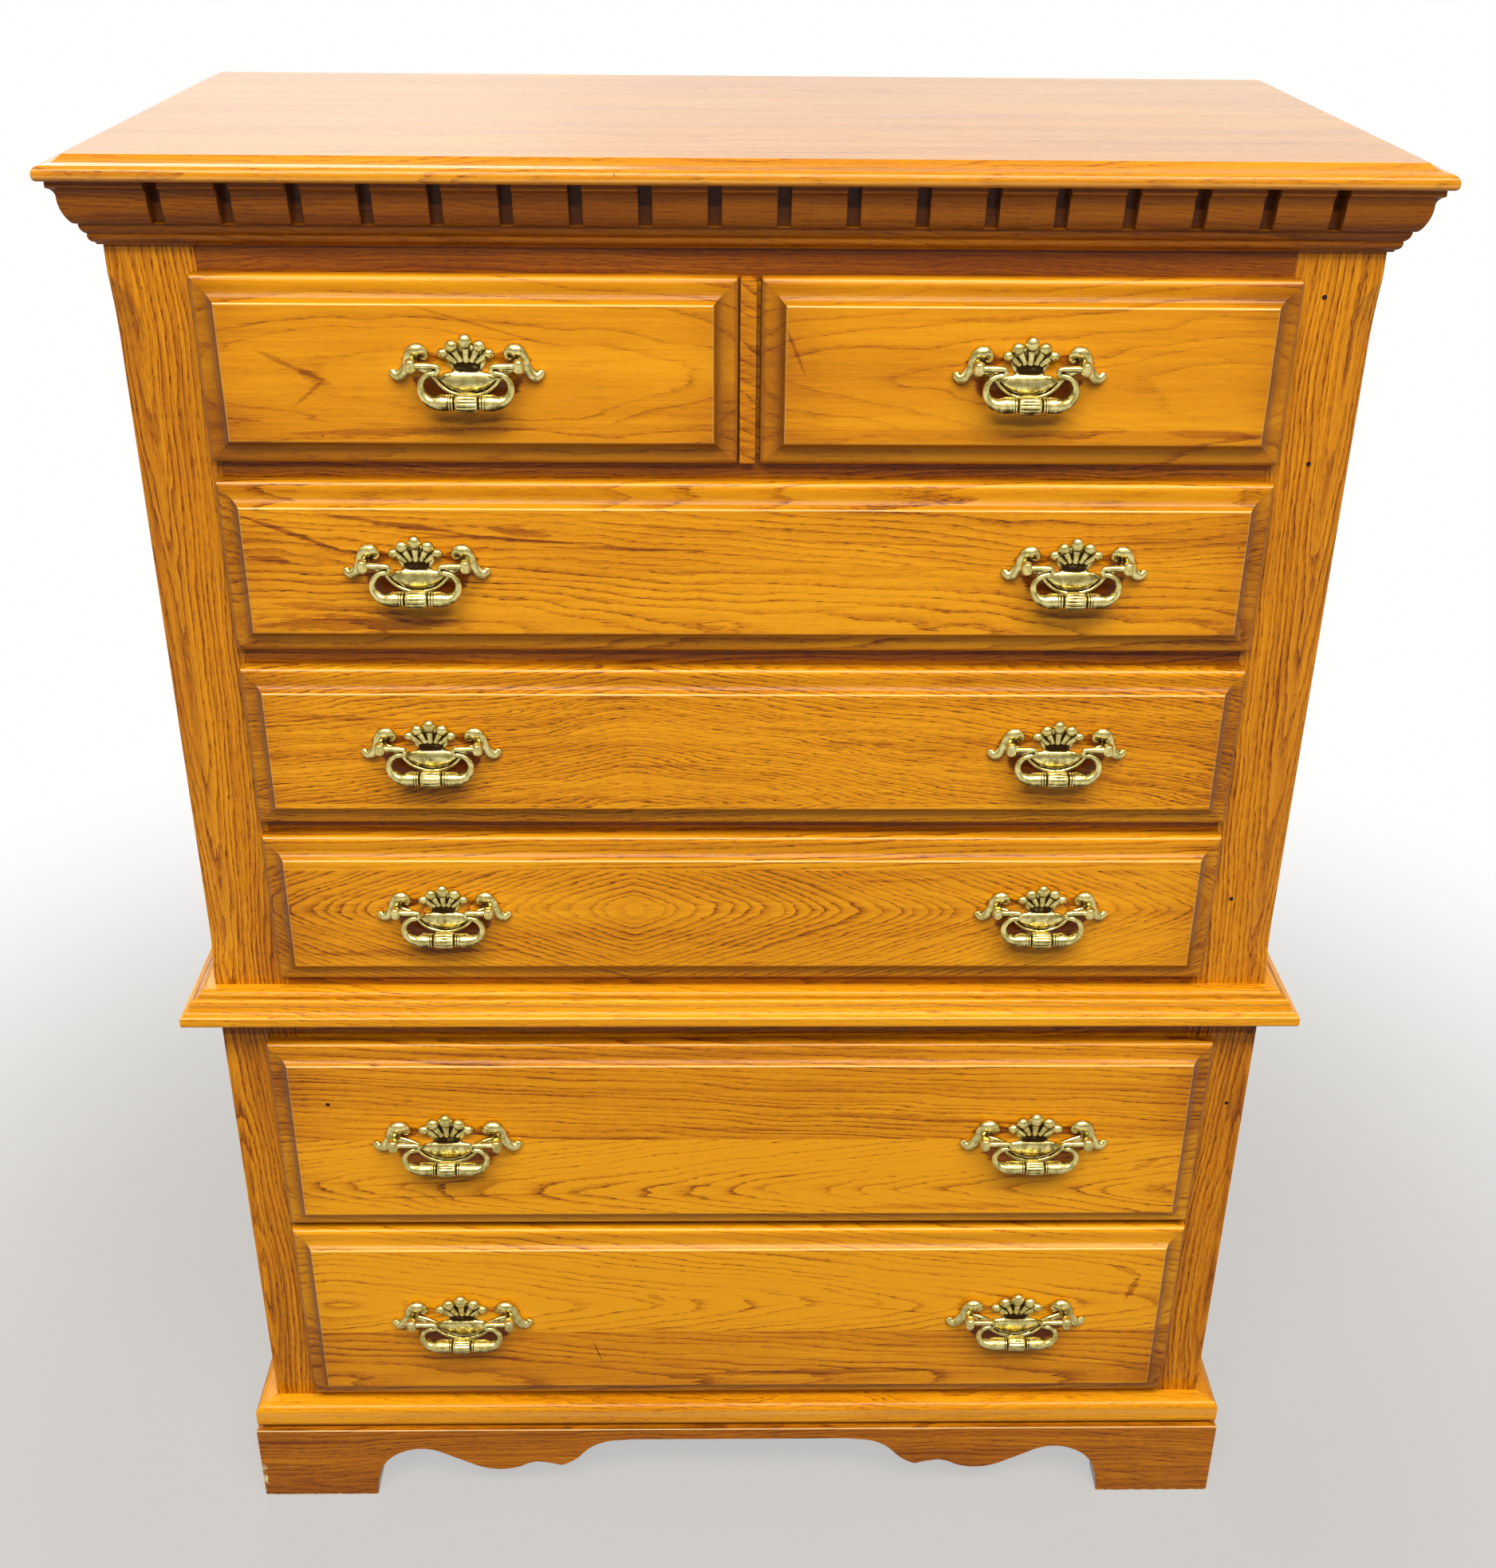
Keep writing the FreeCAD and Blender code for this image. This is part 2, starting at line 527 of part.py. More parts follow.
def back_plate(size):
    """Cast plate: a crescent under a five-lobed shell, with a scrolled leaf round each post."""
    unit = POST_HALF
    y = FIELD_Y - PLATE_THICK

    def flat(points, proud):
        start = points[-1][-1]
        face = outline(start, points, lambda q: V(q[0] * unit, y - proud, q[1] * unit))
        return face.extrude(V(0, PLATE_THICK + proud, 0))
    pieces = []
    for sign in (-1, 1):
        for x, z, radius in LOBES:
            pieces.append(lobe(sign * x * unit, z * unit, radius * unit, y + LOBE_SUNK * unit))
        for x, z, radius, proud in LEAF_DISCS:
            pieces.append(cylinder(radius * unit, PLATE_THICK + proud * unit,
                                   V(sign * x * unit, y - proud * unit, z * unit), V(0, 1, 0)))
        for link in LEAF_LINKS:
            pieces.append(flat([((sign * x, z),) for x, z in link], 0.0))
    plate = flat(CRESCENT, CRESCENT_PROUD * unit).fuse(pieces)
    plate = at_size(plate.cut(box(-FAR, FAR, FIELD_Y, FRONT, -FAR, FAR)), size)
    bores = [cylinder(SHANK_R + SHANK_PLAY, 2 * FAR, V(sign * unit * size, FRONT - FAR, 0), V(0, 1, 0))
             for sign in (-1, 1)]
    return plate.cut(bores).removeSplitter()


def post(sign, size):
    """Post with a pierced barrel in front, a shank through the drawer front and a nut inside."""
    x = sign * POST_HALF * size
    axis_y = FIELD_Y - AXIS_OUT * size
    plate_y = FIELD_Y - PLATE_THICK * size
    inside_y = FRONT - LIP_GAP + BOX_FRONT
    width = BARREL_WIDTH * size
    out = V(sign, 0, 0)
    inner = V(x, axis_y, 0) - out * (width / 2.0)
    barrel = cylinder(BARREL_R * size, width, inner, out)
    collar = cylinder(COLLAR_R * size, plate_y - axis_y, V(x, axis_y, 0), V(0, 1, 0))
    shank = cylinder(SHANK_R, inside_y + SHANK_END - axis_y, V(x, axis_y, 0), V(0, 1, 0))
    nut = cylinder(NUT_R, NUT_THICK, V(x, inside_y, 0), V(0, 1, 0))
    bore = cylinder(ROD_R + PIN_PLAY, width - BARREL_BLIND * size, inner, out)
    return barrel.fuse([collar, shank, nut]).removeSplitter().cut(bore)


def half_turn(x, z_start, z_end, y, sign):
    """Rod bent through half a turn in the XZ plane, from z_start down to z_end; sign picks the side."""
    disc = Part.Face(Part.Wire(Part.makeCircle(ROD_R, V(x, y, z_start), V(1, 0, 0))))
    return disc.revolve(V(x, y, (z_start + z_end) / 2.0), V(0, sign, 0), 180.0)


def grip_bar(turn_x, y):
    """Turned grip: tapered ends, a ring either side and a ball in the middle."""
    half = [(turn_x, ROD_R), (turn_x - SWELL_RUN, BAR_R), (RING_OUTER + RING_SLOPE, BAR_R),
            (RING_OUTER, RING_R), (RING_INNER, RING_R), (RING_INNER - RING_SLOPE, NECK_R),
            (BALL_HALF, NECK_R)]
    left = [(-x, r) for x, r in reversed(half)]
    steps = [(p,) for p in half] + [((0.0, BALL_R), left[0])] + [(p,) for p in left[1:]]
    steps.append(((-turn_x, 0.0),))
    face = outline((turn_x, 0.0), steps, lambda q: V(q[0], y, q[1] - BAIL_DROP))
    return face.revolve(V(0, y, -BAIL_DROP), V(1, 0, 0), 360.0)


def bail(size):
    """Swan-neck bail hanging from its pins: each pin turns back under itself, swings out and down."""
    y = FIELD_Y - AXIS_OUT * size
    turn_x = TURN_X * size
    pin_end = (POST_HALF + BARREL_WIDTH / 2.0 - PIN_SHY) * size
    pieces = [grip_bar(turn_x, y)]
    for sign in (-1, 1):
        pieces.append(cylinder(ROD_R, pin_end - turn_x, V(sign * pin_end, y, 0), V(-sign, 0, 0)))
        pieces.append(half_turn(sign * turn_x, 0.0, -2.0 * CURL_R, y, -sign))
        pieces.append(half_turn(sign * turn_x, -2.0 * CURL_R, -BAIL_DROP, y, sign))
    return pieces[0].fuse(pieces[1:]).removeSplitter()


# ---------------------------------------------------------------- build: case
upper = (SEAT_Z, CASE_TOP)
lower = (BASE_HEIGHT, SEAT_Z)
upper_stile = right_stile(*upper).cut(chamfer_tool())
upper_floors = [RAIL_12[1], RAIL_23[1], RAIL_34[1]]
lower_floors = [RAIL_56[1], LOWER_FOOT_RAIL[1]]
upper_guides = [centre_guide()]
for floor_z in upper_floors + [UPPER_FOOT_RAIL[1]]:
    upper_guides += guide_pair(floor_z)
right_bracket = bracket_side()

save("top_panel", top_panel())
save("crown_moulding", crown_moulding())
save("upper_side_left", mirror_x(right_side(*upper)))
save("upper_side_right", right_side(*upper))
save("upper_back", back_panel(*upper))
save("upper_stile_right", upper_stile)
save("upper_stile_left", mirror_x(upper_stile))
save("upper_top_rail", rail(UPPER_TOP_RAIL))
save("upper_drawer_rails", Part.makeCompound([rail(RAIL_12), rail(RAIL_23), rail(RAIL_34)]))
save("upper_foot_rail", rail(UPPER_FOOT_RAIL))
save("centre_divider", centre_divider())
save("upper_dust_boards", Part.makeCompound([board_under(z) for z in upper_floors]))
save("upper_floor_board", board_under(UPPER_FOOT_RAIL[1]))
save("upper_guides", Part.makeCompound(upper_guides))
save("waist_moulding", waist_moulding())
save("lower_side_left", mirror_x(right_side(*lower)))
save("lower_side_right", right_side(*lower))
save("lower_back", back_panel(*lower))
save("lower_stile_right", right_stile(*lower))
save("lower_stile_left", mirror_x(right_stile(*lower)))
save("lower_rails", Part.makeCompound([rail(LOWER_TOP_RAIL), rail(RAIL_56), rail(LOWER_FOOT_RAIL)]))
save("lower_boards", Part.makeCompound([board_under(z) for z in [SEAT_Z] + lower_floors]))
save("lower_guides", Part.makeCompound(guide_pair(lower_floors[0]) + guide_pair(lower_floors[1])))
save("base_moulding", base_moulding())
save("bracket_front", bracket_front())
save("bracket_sides", Part.makeCompound([right_bracket, mirror_x(right_bracket)]))
save("corner_blocks", corner_blocks())

# ---------------------------------------------------------------- build: drawers and pulls
PLATES = {size: back_plate(size) for size in (UPPER_PULL, LOWER_PULL)}
POSTS = {size: [post(-1, size), post(1, size)] for size in (UPPER_PULL, LOWER_PULL)}
BAILS = {size: bail(size) for size in (UPPER_PULL, LOWER_PULL)}


def build_drawer(name, width, row, bay, height, size, pull_xs):
    """One drawer: its front, its box between the rails and guides, and a pull at each of pull_xs."""
    pull_z = (row[0] + row[1]) / 2.0 + PULL_RISE
    holes = [(x + sign * POST_HALF * size, pull_z) for x in pull_xs for sign in (-1, 1)]
    save(name + "_front", raised_front(width[0], width[1], row[0], row[1], holes))
    save(name + "_box", drawer_box(bay[0] + BOX_SIDE_PLAY, bay[1] - BOX_SIDE_PLAY,
                                   height[0] + BOX_FOOT_PLAY, height[1] - BOX_TOP_PLAY, holes))
    hardware = []
    tags = [""] if len(pull_xs) == 1 else ["_left", "_right"]
    for x, tag in zip(pull_xs, tags):
        hardware.append(moved(PLATES[size], x, pull_z))
        hardware += [moved(p, x, pull_z) for p in POSTS[size]]
        save(name + "_bail" + tag, moved(BAILS[size], x, pull_z))
    save(name + "_pull_plates", Part.makeCompound(hardware))


def build_small_drawer(name, x0, x1, bay):
    build_drawer(name, (x0, x1), ROW_1, bay, (RAIL_12[1], UPPER_TOP_RAIL[0]), UPPER_PULL,
                 [(x0 + x1) / 2.0])


def build_wide_drawer(name, half, row, height, size, inset):
    build_drawer(name, (-half, half), row, (-OPEN_HALF, OPEN_HALF), height, size,
                 [inset - half, half - inset])


build_small_drawer("drawer_1_left", -UPPER_HALF, -STRIP_HALF - SMALL_GAP_LEFT,
                   (-OPEN_HALF, -DIVIDER_WIDTH / 2.0))
build_small_drawer("drawer_1_right", STRIP_HALF + SMALL_GAP_RIGHT, UPPER_HALF,
                   (DIVIDER_WIDTH / 2.0, OPEN_HALF))
for name, row, height in (("drawer_2", ROW_2, (RAIL_23[1], RAIL_12[0])),
                          ("drawer_3", ROW_3, (RAIL_34[1], RAIL_23[0])),
                          ("drawer_4", ROW_4, (UPPER_FOOT_RAIL[1], RAIL_34[0]))):
    build_wide_drawer(name, UPPER_HALF, row, height, UPPER_PULL, UPPER_PULL_INSET)
for name, row, height in (("drawer_5", ROW_5, (RAIL_56[1], LOWER_TOP_RAIL[0])),
                          ("drawer_6", ROW_6, (LOWER_FOOT_RAIL[1], RAIL_56[0]))):
    build_wide_drawer(name, LOWER_HALF, row, height, LOWER_PULL, LOWER_PULL_INSET)
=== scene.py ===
"""Looks of the chest on chest: rounded oak boards, mouldings and moulded drawer fronts with grain, cast
brass pulls, floor, light and camera. Sizes are millimetres; MM turns them into Blender's metres.
"""
import math

import bmesh
import bpy
from mathutils import Matrix, Vector


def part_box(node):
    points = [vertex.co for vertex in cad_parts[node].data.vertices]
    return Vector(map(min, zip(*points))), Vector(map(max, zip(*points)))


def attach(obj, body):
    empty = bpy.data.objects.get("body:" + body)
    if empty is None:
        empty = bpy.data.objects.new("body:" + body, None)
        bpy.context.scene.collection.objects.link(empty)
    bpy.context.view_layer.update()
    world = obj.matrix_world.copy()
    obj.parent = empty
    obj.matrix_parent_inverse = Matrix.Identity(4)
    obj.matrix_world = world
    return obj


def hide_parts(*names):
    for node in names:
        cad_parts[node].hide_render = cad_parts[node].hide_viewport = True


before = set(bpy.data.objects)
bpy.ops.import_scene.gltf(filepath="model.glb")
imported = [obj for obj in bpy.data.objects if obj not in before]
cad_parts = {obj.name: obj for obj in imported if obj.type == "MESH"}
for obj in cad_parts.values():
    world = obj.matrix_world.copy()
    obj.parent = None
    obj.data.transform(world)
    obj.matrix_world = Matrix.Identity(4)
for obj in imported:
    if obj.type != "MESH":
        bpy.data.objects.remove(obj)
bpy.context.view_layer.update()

MM = 0.001


def span(node):
    """Lowest and highest corner of a CAD node in millimetres."""
    low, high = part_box(node)
    return [v / MM for v in low], [v / MM for v in high]


# ---- places taken from the frame ----
CASE_HALF = span("upper_side_right")[1][0]
FRONT = span("upper_stile_right")[0][1]
FRAME_BACK = span("upper_stile_right")[1][1]
BACK = span("upper_side_right")[1][1]
OPEN_HALF = span("upper_stile_right")[0][0]
CASE_TOP = span("upper_side_right")[1][2]
HEIGHT = span("top_panel")[1][2]
SEAT_Z = span("upper_side_right")[0][2]
BASE_HEIGHT = span("lower_side_right")[0][2]

# ---- edges ----
MITRE_ROUND = 1.2           # rounding of the front corners of the top
MOULDING_ARRIS = 0.6
SHARP = math.radians(28.0)  # turn from which a corner is rounded and an edge drawn sharp

# ---- corner chamfer of the upper stiles ----
CHAMFER_FACE = 23.5         # cut off the front face
CHAMFER_SIDE = 7.0          # cut off the side
CHAMFER_TOP = CASE_TOP - 66.5
CHAMFER_TOP_RUN = 50.0
CHAMFER_FOOT = SEAT_Z + 21.0
CHAMFER_FOOT_RUN = 44.0

# ---- moulding profiles ----
# They run from the top down, as shares of the reach and of the height.
TOP_EDGE = [((0.327, 0.248), (0.713, 0.344)), ((0.947, 0.510), (1.0, 0.777)), ((0.971, 0.911), (0.889, 1.0))]
CROWN_OVER = [((1.0, 0.0),), ((1.0, 0.105),), ((0.870, 0.153), (0.806, 0.243)),
              ((0.751, 0.452), (0.601, 0.622)), ((0.548, 0.652),)]
CROWN_UNDER = [((0.538, 0.656),), ((0.451, 0.656),), ((0.411, 0.759), (0.308, 0.819)), ((0.292, 0.819),),
               ((0.277, 0.910), (0.158, 0.961)), ((0.119, 1.0),), ((0.0, 1.0),)]
WAIST = [((0.208, 0.018),), ((0.396, 0.068), (0.475, 0.182)), ((0.506, 0.182),),
         ((0.649, 0.232), (0.702, 0.346)), ((0.725, 0.361),), ((0.808, 0.546), (0.981, 0.646)),
         ((1.0, 0.661),), ((1.0, 0.875),), ((0.974, 0.964), (0.883, 1.0)), ((0.0, 1.0),)]
BASE_MOULD = [((0.556, 0.013),), ((0.889, 0.103), (1.0, 0.307)), ((1.0, 0.6),),
              ((0.972, 0.767), (0.822, 0.88)), ((0.767, 0.88),), ((0.767, 1.0),), ((0.0, 1.0),)]
TOP_EDGE_RUN = 17.1
CROWN_OUT = 25.3
CROWN_HEIGHT = 46.5
WAIST_OUT = 26.5
WAIST_HEIGHT = 28.0
WAIST_RISE = 8.5            # its top above the seat of the upper case
BASE_MOULD_OUT = 18.0
BASE_MOULD_HEIGHT = 30.0
DENTIL_COUNT = 18
DENTIL_END = 45.1
DENTIL_WIDTH = 9.3
DENTIL_TALL = 30.3
DENTIL_FLOOR_OUT = 7.0
DENTIL_ARRIS = 0.5
LEDGE_OUT = 13.8            # ledge below the notches

# ---- bracket base ----
BASE_OUT = 20.0
BRACKET_THICK = 32.0
FOOT_WIDTH = 112.0
# Arcs of the scallop (point passed, end) from a foot to the flat middle, as shares of the arch, and the
# run and height of the arch.
FRONT_SCALLOP = [((0.007, 0.243), (0.019, 0.405)), ((0.048, 0.622), (0.100, 0.770)),
                 ((0.174, 0.843), (0.249, 0.792)), ((0.317, 0.662), (0.382, 0.541)),
                 ((0.471, 0.459), (0.560, 0.519)), ((0.589, 0.573), (0.618, 0.600)),
                 ((0.668, 0.570), (0.710, 0.527)), ((0.757, 0.614), (0.795, 0.750)),
                 ((0.849, 0.911), (0.931, 0.984)), ((0.965, 0.997), (1.0, 1.0))]
SIDE_SCALLOP = [((0.024, 0.265), (0.065, 0.441)), ((0.170, 0.647), (0.346, 0.765)),
                ((0.529, 0.818), (0.686, 0.794)), ((0.817, 0.912), (1.0, 1.0))]
FRONT_ARCH = (259.0, 74.0)
SIDE_ARCH = (76.5, 68.0)
BRACKET_ROUND = 2.0
# Face of a bracket from front to back: how far in, how deep, and its glazing value, which below zero paints a
# highlight on the arrises.
BRACKET_STEPS = [(1.2, 0.0, 0.0), (0.6, 0.2, -0.6), (0.16, 0.7, -0.6), (0.0, 1.4, 0.0),
                 (0.0, BRACKET_THICK, 0.0)]

# ---- drawer fronts and pulls ----
FRONT_CORNER = 2.2          # rounding of a front's corners at its lip
LIP_GAP = 0.4               # between the lip of a front and the case
# Edge of a front: distance in from its outline, distance out from the case, and how dark the glazing
# lies, which also paints the shade in the gap behind the lip and on the lower coves; below zero it is a
# painted highlight on an arris.
FRONT_EDGE = [(0.0, 0.4, 0.6), (0.0, 6.8, 0.3), (0.3, 8.0, 0.1), (0.9, 9.1, 0.0), (1.5, 9.8, -0.55),
              (2.2, 10.4, 0.0), (3.1, 11.0, 0.1), (4.6, 11.5, 0.2), (6.9, 11.8, 0.3), (9.4, 12.15, 0.36),
              (11.6, 12.75, 0.38), (13.4, 13.6, 0.38), (14.9, 14.7, 0.34), (16.1, 16.0, 0.3),
              (17.0, 17.3, 0.2), (17.6, 18.2, 0.0), (18.05, 18.65, -1.0), (18.5, 18.88, -0.6),
              (19.2, 19.0, 0.0)]
FIELD_OUT = 19.0            # raised field of a front, in front of the case
POST_HALF = 38.1            # from the middle of a pull to a post
PULL_RISE = 10.0            # bail axis above the middle of a front
UPPER_PULL_INSET = 146.5    # from the end of a front to the middle of its pull
LOWER_PULL_INSET = 152.5
LOWER_PULL = 1.19           # size of the lower pulls against the upper ones
AXIS_OUT = 13.6             # bail axis in front of the field
BAIL_DROP = 26.2            # from the bail axis to the middle of the grip
BOX_FRONT = 14.0            # inner front of a drawer box
STRIP_HALF = 5.9            # proud strip of the divider
# Painted shadow of a pull on the wood, below its bail and beside its leaves, as strokes about its
# middle: (x, z, x, z, half width, strength).
PULL_SHADOW_STROKES = [(-41.0, -10.0, -4.0, -35.0, 10.0, 0.75), (4.0, -35.0, 41.0, -10.0, 10.0, 0.75),
              (-48.0, 1.0, -16.0, 3.0, 6.0, 0.5), (16.0, 3.0, 48.0, 1.0, 6.0, 0.5)]


# ---- meshes ----
class Shape:
    """Vertices in millimetres, faces and one value on each vertex, gathered into one mesh: above zero dark
    glazing with painted shade, below zero a painted highlight.
    """

    def __init__(self):
        self.verts = []
        self.faces = []
        self.glaze_and_painted_light = []

    def loft(self, rings, glaze_and_painted_light=None):
        """Skin over closed rings of equal length, capped at both ends."""
        base = len(self.verts)
        count = len(rings[0])
        for k, ring in enumerate(rings):
            self.verts += [tuple(p) for p in ring]
            self.glaze_and_painted_light += [glaze_and_painted_light[k] if glaze_and_painted_light else 0.0] * count
        for k in range(len(rings) - 1):
            for i in range(count):
                j = (i + 1) % count
                a = base + k * count
                b = a + count
                self.faces.append((a + i, a + j, b + j, b + i))
        last = base + (len(rings) - 1) * count
        self.faces.append(tuple(base + i for i in reversed(range(count))))
        self.faces.append(tuple(last + i for i in range(count)))

    def mesh(self, name):
        data = bpy.data.meshes.new(name)
        data.from_pydata([[c * MM for c in p] for p in self.verts], [], self.faces)
        layer = data.attributes.new("glaze_and_painted_light", "FLOAT", "POINT")
        layer.data.foreach_set("value", self.glaze_and_painted_light)
        work = bmesh.new()
        work.from_mesh(data)
        bmesh.ops.recalc_face_normals(work, faces=work.faces)
        work.to_mesh(data)
        work.free()
        data.shade_smooth()
        data.set_sharp_from_angle(angle=SHARP)
        return data


def linked(name, data):
    """Object with this data, in the scene."""
    obj = bpy.data.objects.new(name, data)
    bpy.context.scene.collection.objects.link(obj)
    return obj


def piece(name, data, body, material, nodes, weighted=True):
    """Object that rides on a body and stands for CAD nodes."""
    obj = linked(name, data)
    data.materials.clear()
    data.materials.append(material)
    if weighted:
        modifier = obj.modifiers.new("flat faces stay flat", "WEIGHTED_NORMAL")
        modifier.keep_sharp = True
    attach(obj, body)
    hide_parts(*nodes)


def case_piece(name, shape, wood, node):
    """Oak piece of the case in place of a CAD node."""
    piece(name, shape.mesh(name), "case", wood, [node])


def arc_points(a, mid, b, count=8):
    """Points after a on the arc through mid to b."""
    ax, ay = a
    bx, by = mid
    cx, cy = b
    d = 2.0 * (ax * (by - cy) + bx * (cy - ay) + cx * (ay - by))
    squares = [(ax * ax + ay * ay), (bx * bx + by * by), (cx * cx + cy * cy)]
    ux = (squares[0] * (by - cy) + squares[1] * (cy - ay) + squares[2] * (ay - by)) / d
    uy = (squares[0] * (cx - bx) + squares[1] * (ax - cx) + squares[2] * (bx - ax)) / d
    radius = math.hypot(ax - ux, ay - uy)
    start = math.atan2(ay - uy, ax - ux)
    turns = [math.remainder(math.atan2(q[1] - uy, q[0] - ux) - start, math.tau) for q in (mid, b)]
    total = turns[1]
    if turns[0] * total < 0 or abs(turns[0]) > abs(total):
        total -= math.copysign(math.tau, total)
    angles = [start + total * k / count for k in range(1, count + 1)]
    return [(ux + radius * math.cos(angle), uy + radius * math.sin(angle)) for angle in angles]


def traced(start, steps, place=lambda q: q, count=8):
    """Polyline of a profile of lines (point,) and arcs (mid, point), each point put through place."""
    points = [place(start)]
    for step in steps:
        if len(step) == 1:
            points.append(place(step[0]))
        else:
            points += arc_points(points[-1], place(step[0]), place(step[1]), count)
    return points


def eased(points, radius, least=SHARP):
    """Closed outline with its sharp corners rounded."""
    result = []
    count = len(points)
    for i in range(count):
        here = Vector(points[i])
        back = Vector(points[i - 1]) - here
        ahead = Vector(points[(i + 1) % count]) - here
        if back.length < 1e-6 or ahead.length < 1e-6:
            continue
        if math.pi - back.angle(ahead) < least:
            result.append(tuple(here))
            continue
        cut = min(radius, 0.4 * back.length, 0.4 * ahead.length)
        p = here + back.normalized() * cut
        q = here + ahead.normalized() * cut
        result += [tuple(p), tuple((p + q) / 4.0 + here / 2.0), tuple(q)]
    return result


def inset(points, distance):
    """Closed outline moved inwards along its corners' bisectors."""
    area = sum(p[0] * q[1] - q[0] * p[1] for p, q in zip(points, points[1:] + points[:1]))
    side = 1.0 if area > 0 else -1.0
    result = []
    count = len(points)
    for i in range(count):
        before = (Vector(points[i]) - Vector(points[i - 1])).normalized()
        after = (Vector(points[(i + 1) % count]) - Vector(points[i])).normalized()
        normal = Vector((-before.y - after.y, before.x + after.x))
        if normal.length < 1e-6:
            normal = Vector((-before.y, before.x))
        normal.normalize()
        stretch = 1.0 / max(0.5, Vector((-before.y, before.x)).dot(normal))
        shift = normal * (distance * side * stretch)
        result.append((points[i][0] + shift.x, points[i][1] + shift.y))
    return result


def rectangle(x0, y0, x1, y1):
    """Corners of a rectangle in turn."""
    return [(x0, y0), (x1, y0), (x1, y1), (x0, y1)]


def board(shape, low, high, bevel):
    """Straight board with rounded edges, lofted along its height."""
    x0, y0, z0 = low
    x1, y1, z1 = high
    plan = eased(rectangle(x0, y0, x1, y1), bevel)
    slim = inset(plan, bevel)
    tall = z1 - z0
    rings = [(slim, 0.0), (plan, bevel), (plan, tall - bevel), (slim, tall)]
    shape.loft([[(x, y, z0 + rise) for x, y in ring] for ring, rise in rings])


def solids_of(node):
    """Lowest and highest corner of each separate solid in a CAD node, in millimetres."""
    work = bmesh.new()
    work.from_mesh(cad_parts[node].data)
    bmesh.ops.remove_doubles(work, verts=work.verts, dist=1e-6)
    seen = set()
    boxes = []
    for start in work.verts:
        if start in seen:
            continue
        group = [start]
        seen.add(start)
        for v in group:
            for e in v.link_edges:
                w = e.other_vert(v)
                if w not in seen:
                    seen.add(w)
                    group.append(w)
        axes = list(zip(*[[c / MM for c in v.co] for v in group]))
        boxes.append(([min(a) for a in axes], [max(a) for a in axes]))
    work.free()
    return boxes


# ---- node trees ----
class Graph:
    """Node tree with short calls for the sums that the materials are made of."""

    def __init__(self, tree):
        self.tree = tree
        tree.nodes.clear()

    def feed(self, socket, value):
        """Links a socket to another one, or sets its value."""
        if isinstance(value, bpy.types.NodeSocket):
            self.tree.links.new(value, socket)
        else:
            socket.default_value = value

    def node(self, kind, inputs=None, **settings):
        made = self.tree.nodes.new(kind)
        for key, value in settings.items():
            setattr(made, key, value)
        for key, value in (inputs or {}).items():
            self.feed(made.inputs[key], value)
        return made

    def calc(self, operation, a, b=0.0, c=0.0, clamp=False):
        made = self.node("ShaderNodeMath", {0: a, 1: b, 2: c}, operation=operation, use_clamp=clamp)
        return made.outputs[0]

    def add(self, a, b, clamp=False):
        return self.calc("ADD", a, b, clamp=clamp)

    def take(self, a, b):
        """a less b."""
        return self.calc("SUBTRACT", a, b)

    def times(self, a, b, clamp=False):
        return self.calc("MULTIPLY", a, b, clamp=clamp)

    def fit(self, a, factor, offset, clamp=False):
        """a times a factor, plus an offset."""
        return self.calc("MULTIPLY_ADD", a, factor, offset, clamp)

    def parts(self, vector):
        """The three numbers of a vector."""
        return self.node("ShaderNodeSeparateXYZ", {0: vector}).outputs

    def scaled(self, vector, factors):
        return self.node("ShaderNodeVectorMath", {0: vector, 1: factors}, operation="MULTIPLY").outputs[0]

    def cloud(self, vector, lengths, detail=2.0, roughness=0.5):
        """Noise with a feature size in millimetres along each axis."""
        stretched = self.scaled(vector, [1.0 / v for v in lengths])
        return self.node("ShaderNodeTexNoise", {"Vector": stretched, "Scale": 1.0, "Detail": detail,
                                                "Roughness": roughness}).outputs[0]

    def step_up(self, value, low, high):
        """Smooth rise from 0 to 1 between low and high."""
        return self.node("ShaderNodeMapRange", {"Value": value, "From Min": low, "From Max": high},
                         interpolation_type="SMOOTHSTEP").outputs[0]

    def blend(self, share, a, b):
        """Colour between a and b, each a socket or red, green and blue."""
        made = self.node("ShaderNodeMix", {"Factor": share}, data_type="RGBA")
        for socket, value in ((made.inputs[6], a), (made.inputs[7], b)):
            self.feed(socket, value if isinstance(value, bpy.types.NodeSocket) else (*value, 1.0))
        return made.outputs[2]

    def ramp(self, share, tones):
        made = self.node("ShaderNodeValToRGB", {0: share})
        stops = made.color_ramp.elements
        while len(stops) < len(tones):
            stops.new(0.5)
        for stop, (position, colour) in zip(stops, tones):
            stop.position = position
            stop.color = (*colour, 1.0)
        return made.outputs[0]

    def bump(self, height, strength, distance):
        return self.node("ShaderNodeBump", {"Height": height, "Strength": strength,
                                            "Distance": distance}).outputs[0]

    def finish(self, inputs):
        """Principled shader with these inputs as the material's surface."""
        shader = self.node("ShaderNodeBsdfPrincipled", inputs)
        self.node("ShaderNodeOutputMaterial", {"Surface": shader.outputs[0]})


def new_material(name):
    material = bpy.data.materials.new(name)
    material.use_nodes = True
    return material, Graph(material.node_tree)


# ---- oak ----
OAK_TONES = [(0.0, (0.80, 0.350, 0.008)), (0.28, (0.63, 0.238, 0.004)), (0.52, (0.42, 0.132, 0.003)),
             (0.78, (0.23, 0.058, 0.002)), (1.0, (0.14, 0.030, 0.002))]
GLAZE_AND_SHADE = (0.070, 0.016, 0.002)
ARRIS_HIGHLIGHT = (0.95, 0.74, 0.32)
END_GRAIN_AND_SIDE_SHADE = (0.21, 0.062, 0.003)
RAW_WOOD = (0.80, 0.66, 0.36)
HOLE = (0.02, 0.006, 0.003)
HOLE_RADIUS = 1.6
HOLE_REACH = 2.3            # end of its soft edge
SPECK = (0.035, 0.012, 0.005)
SPECK_SPACING = 38.0
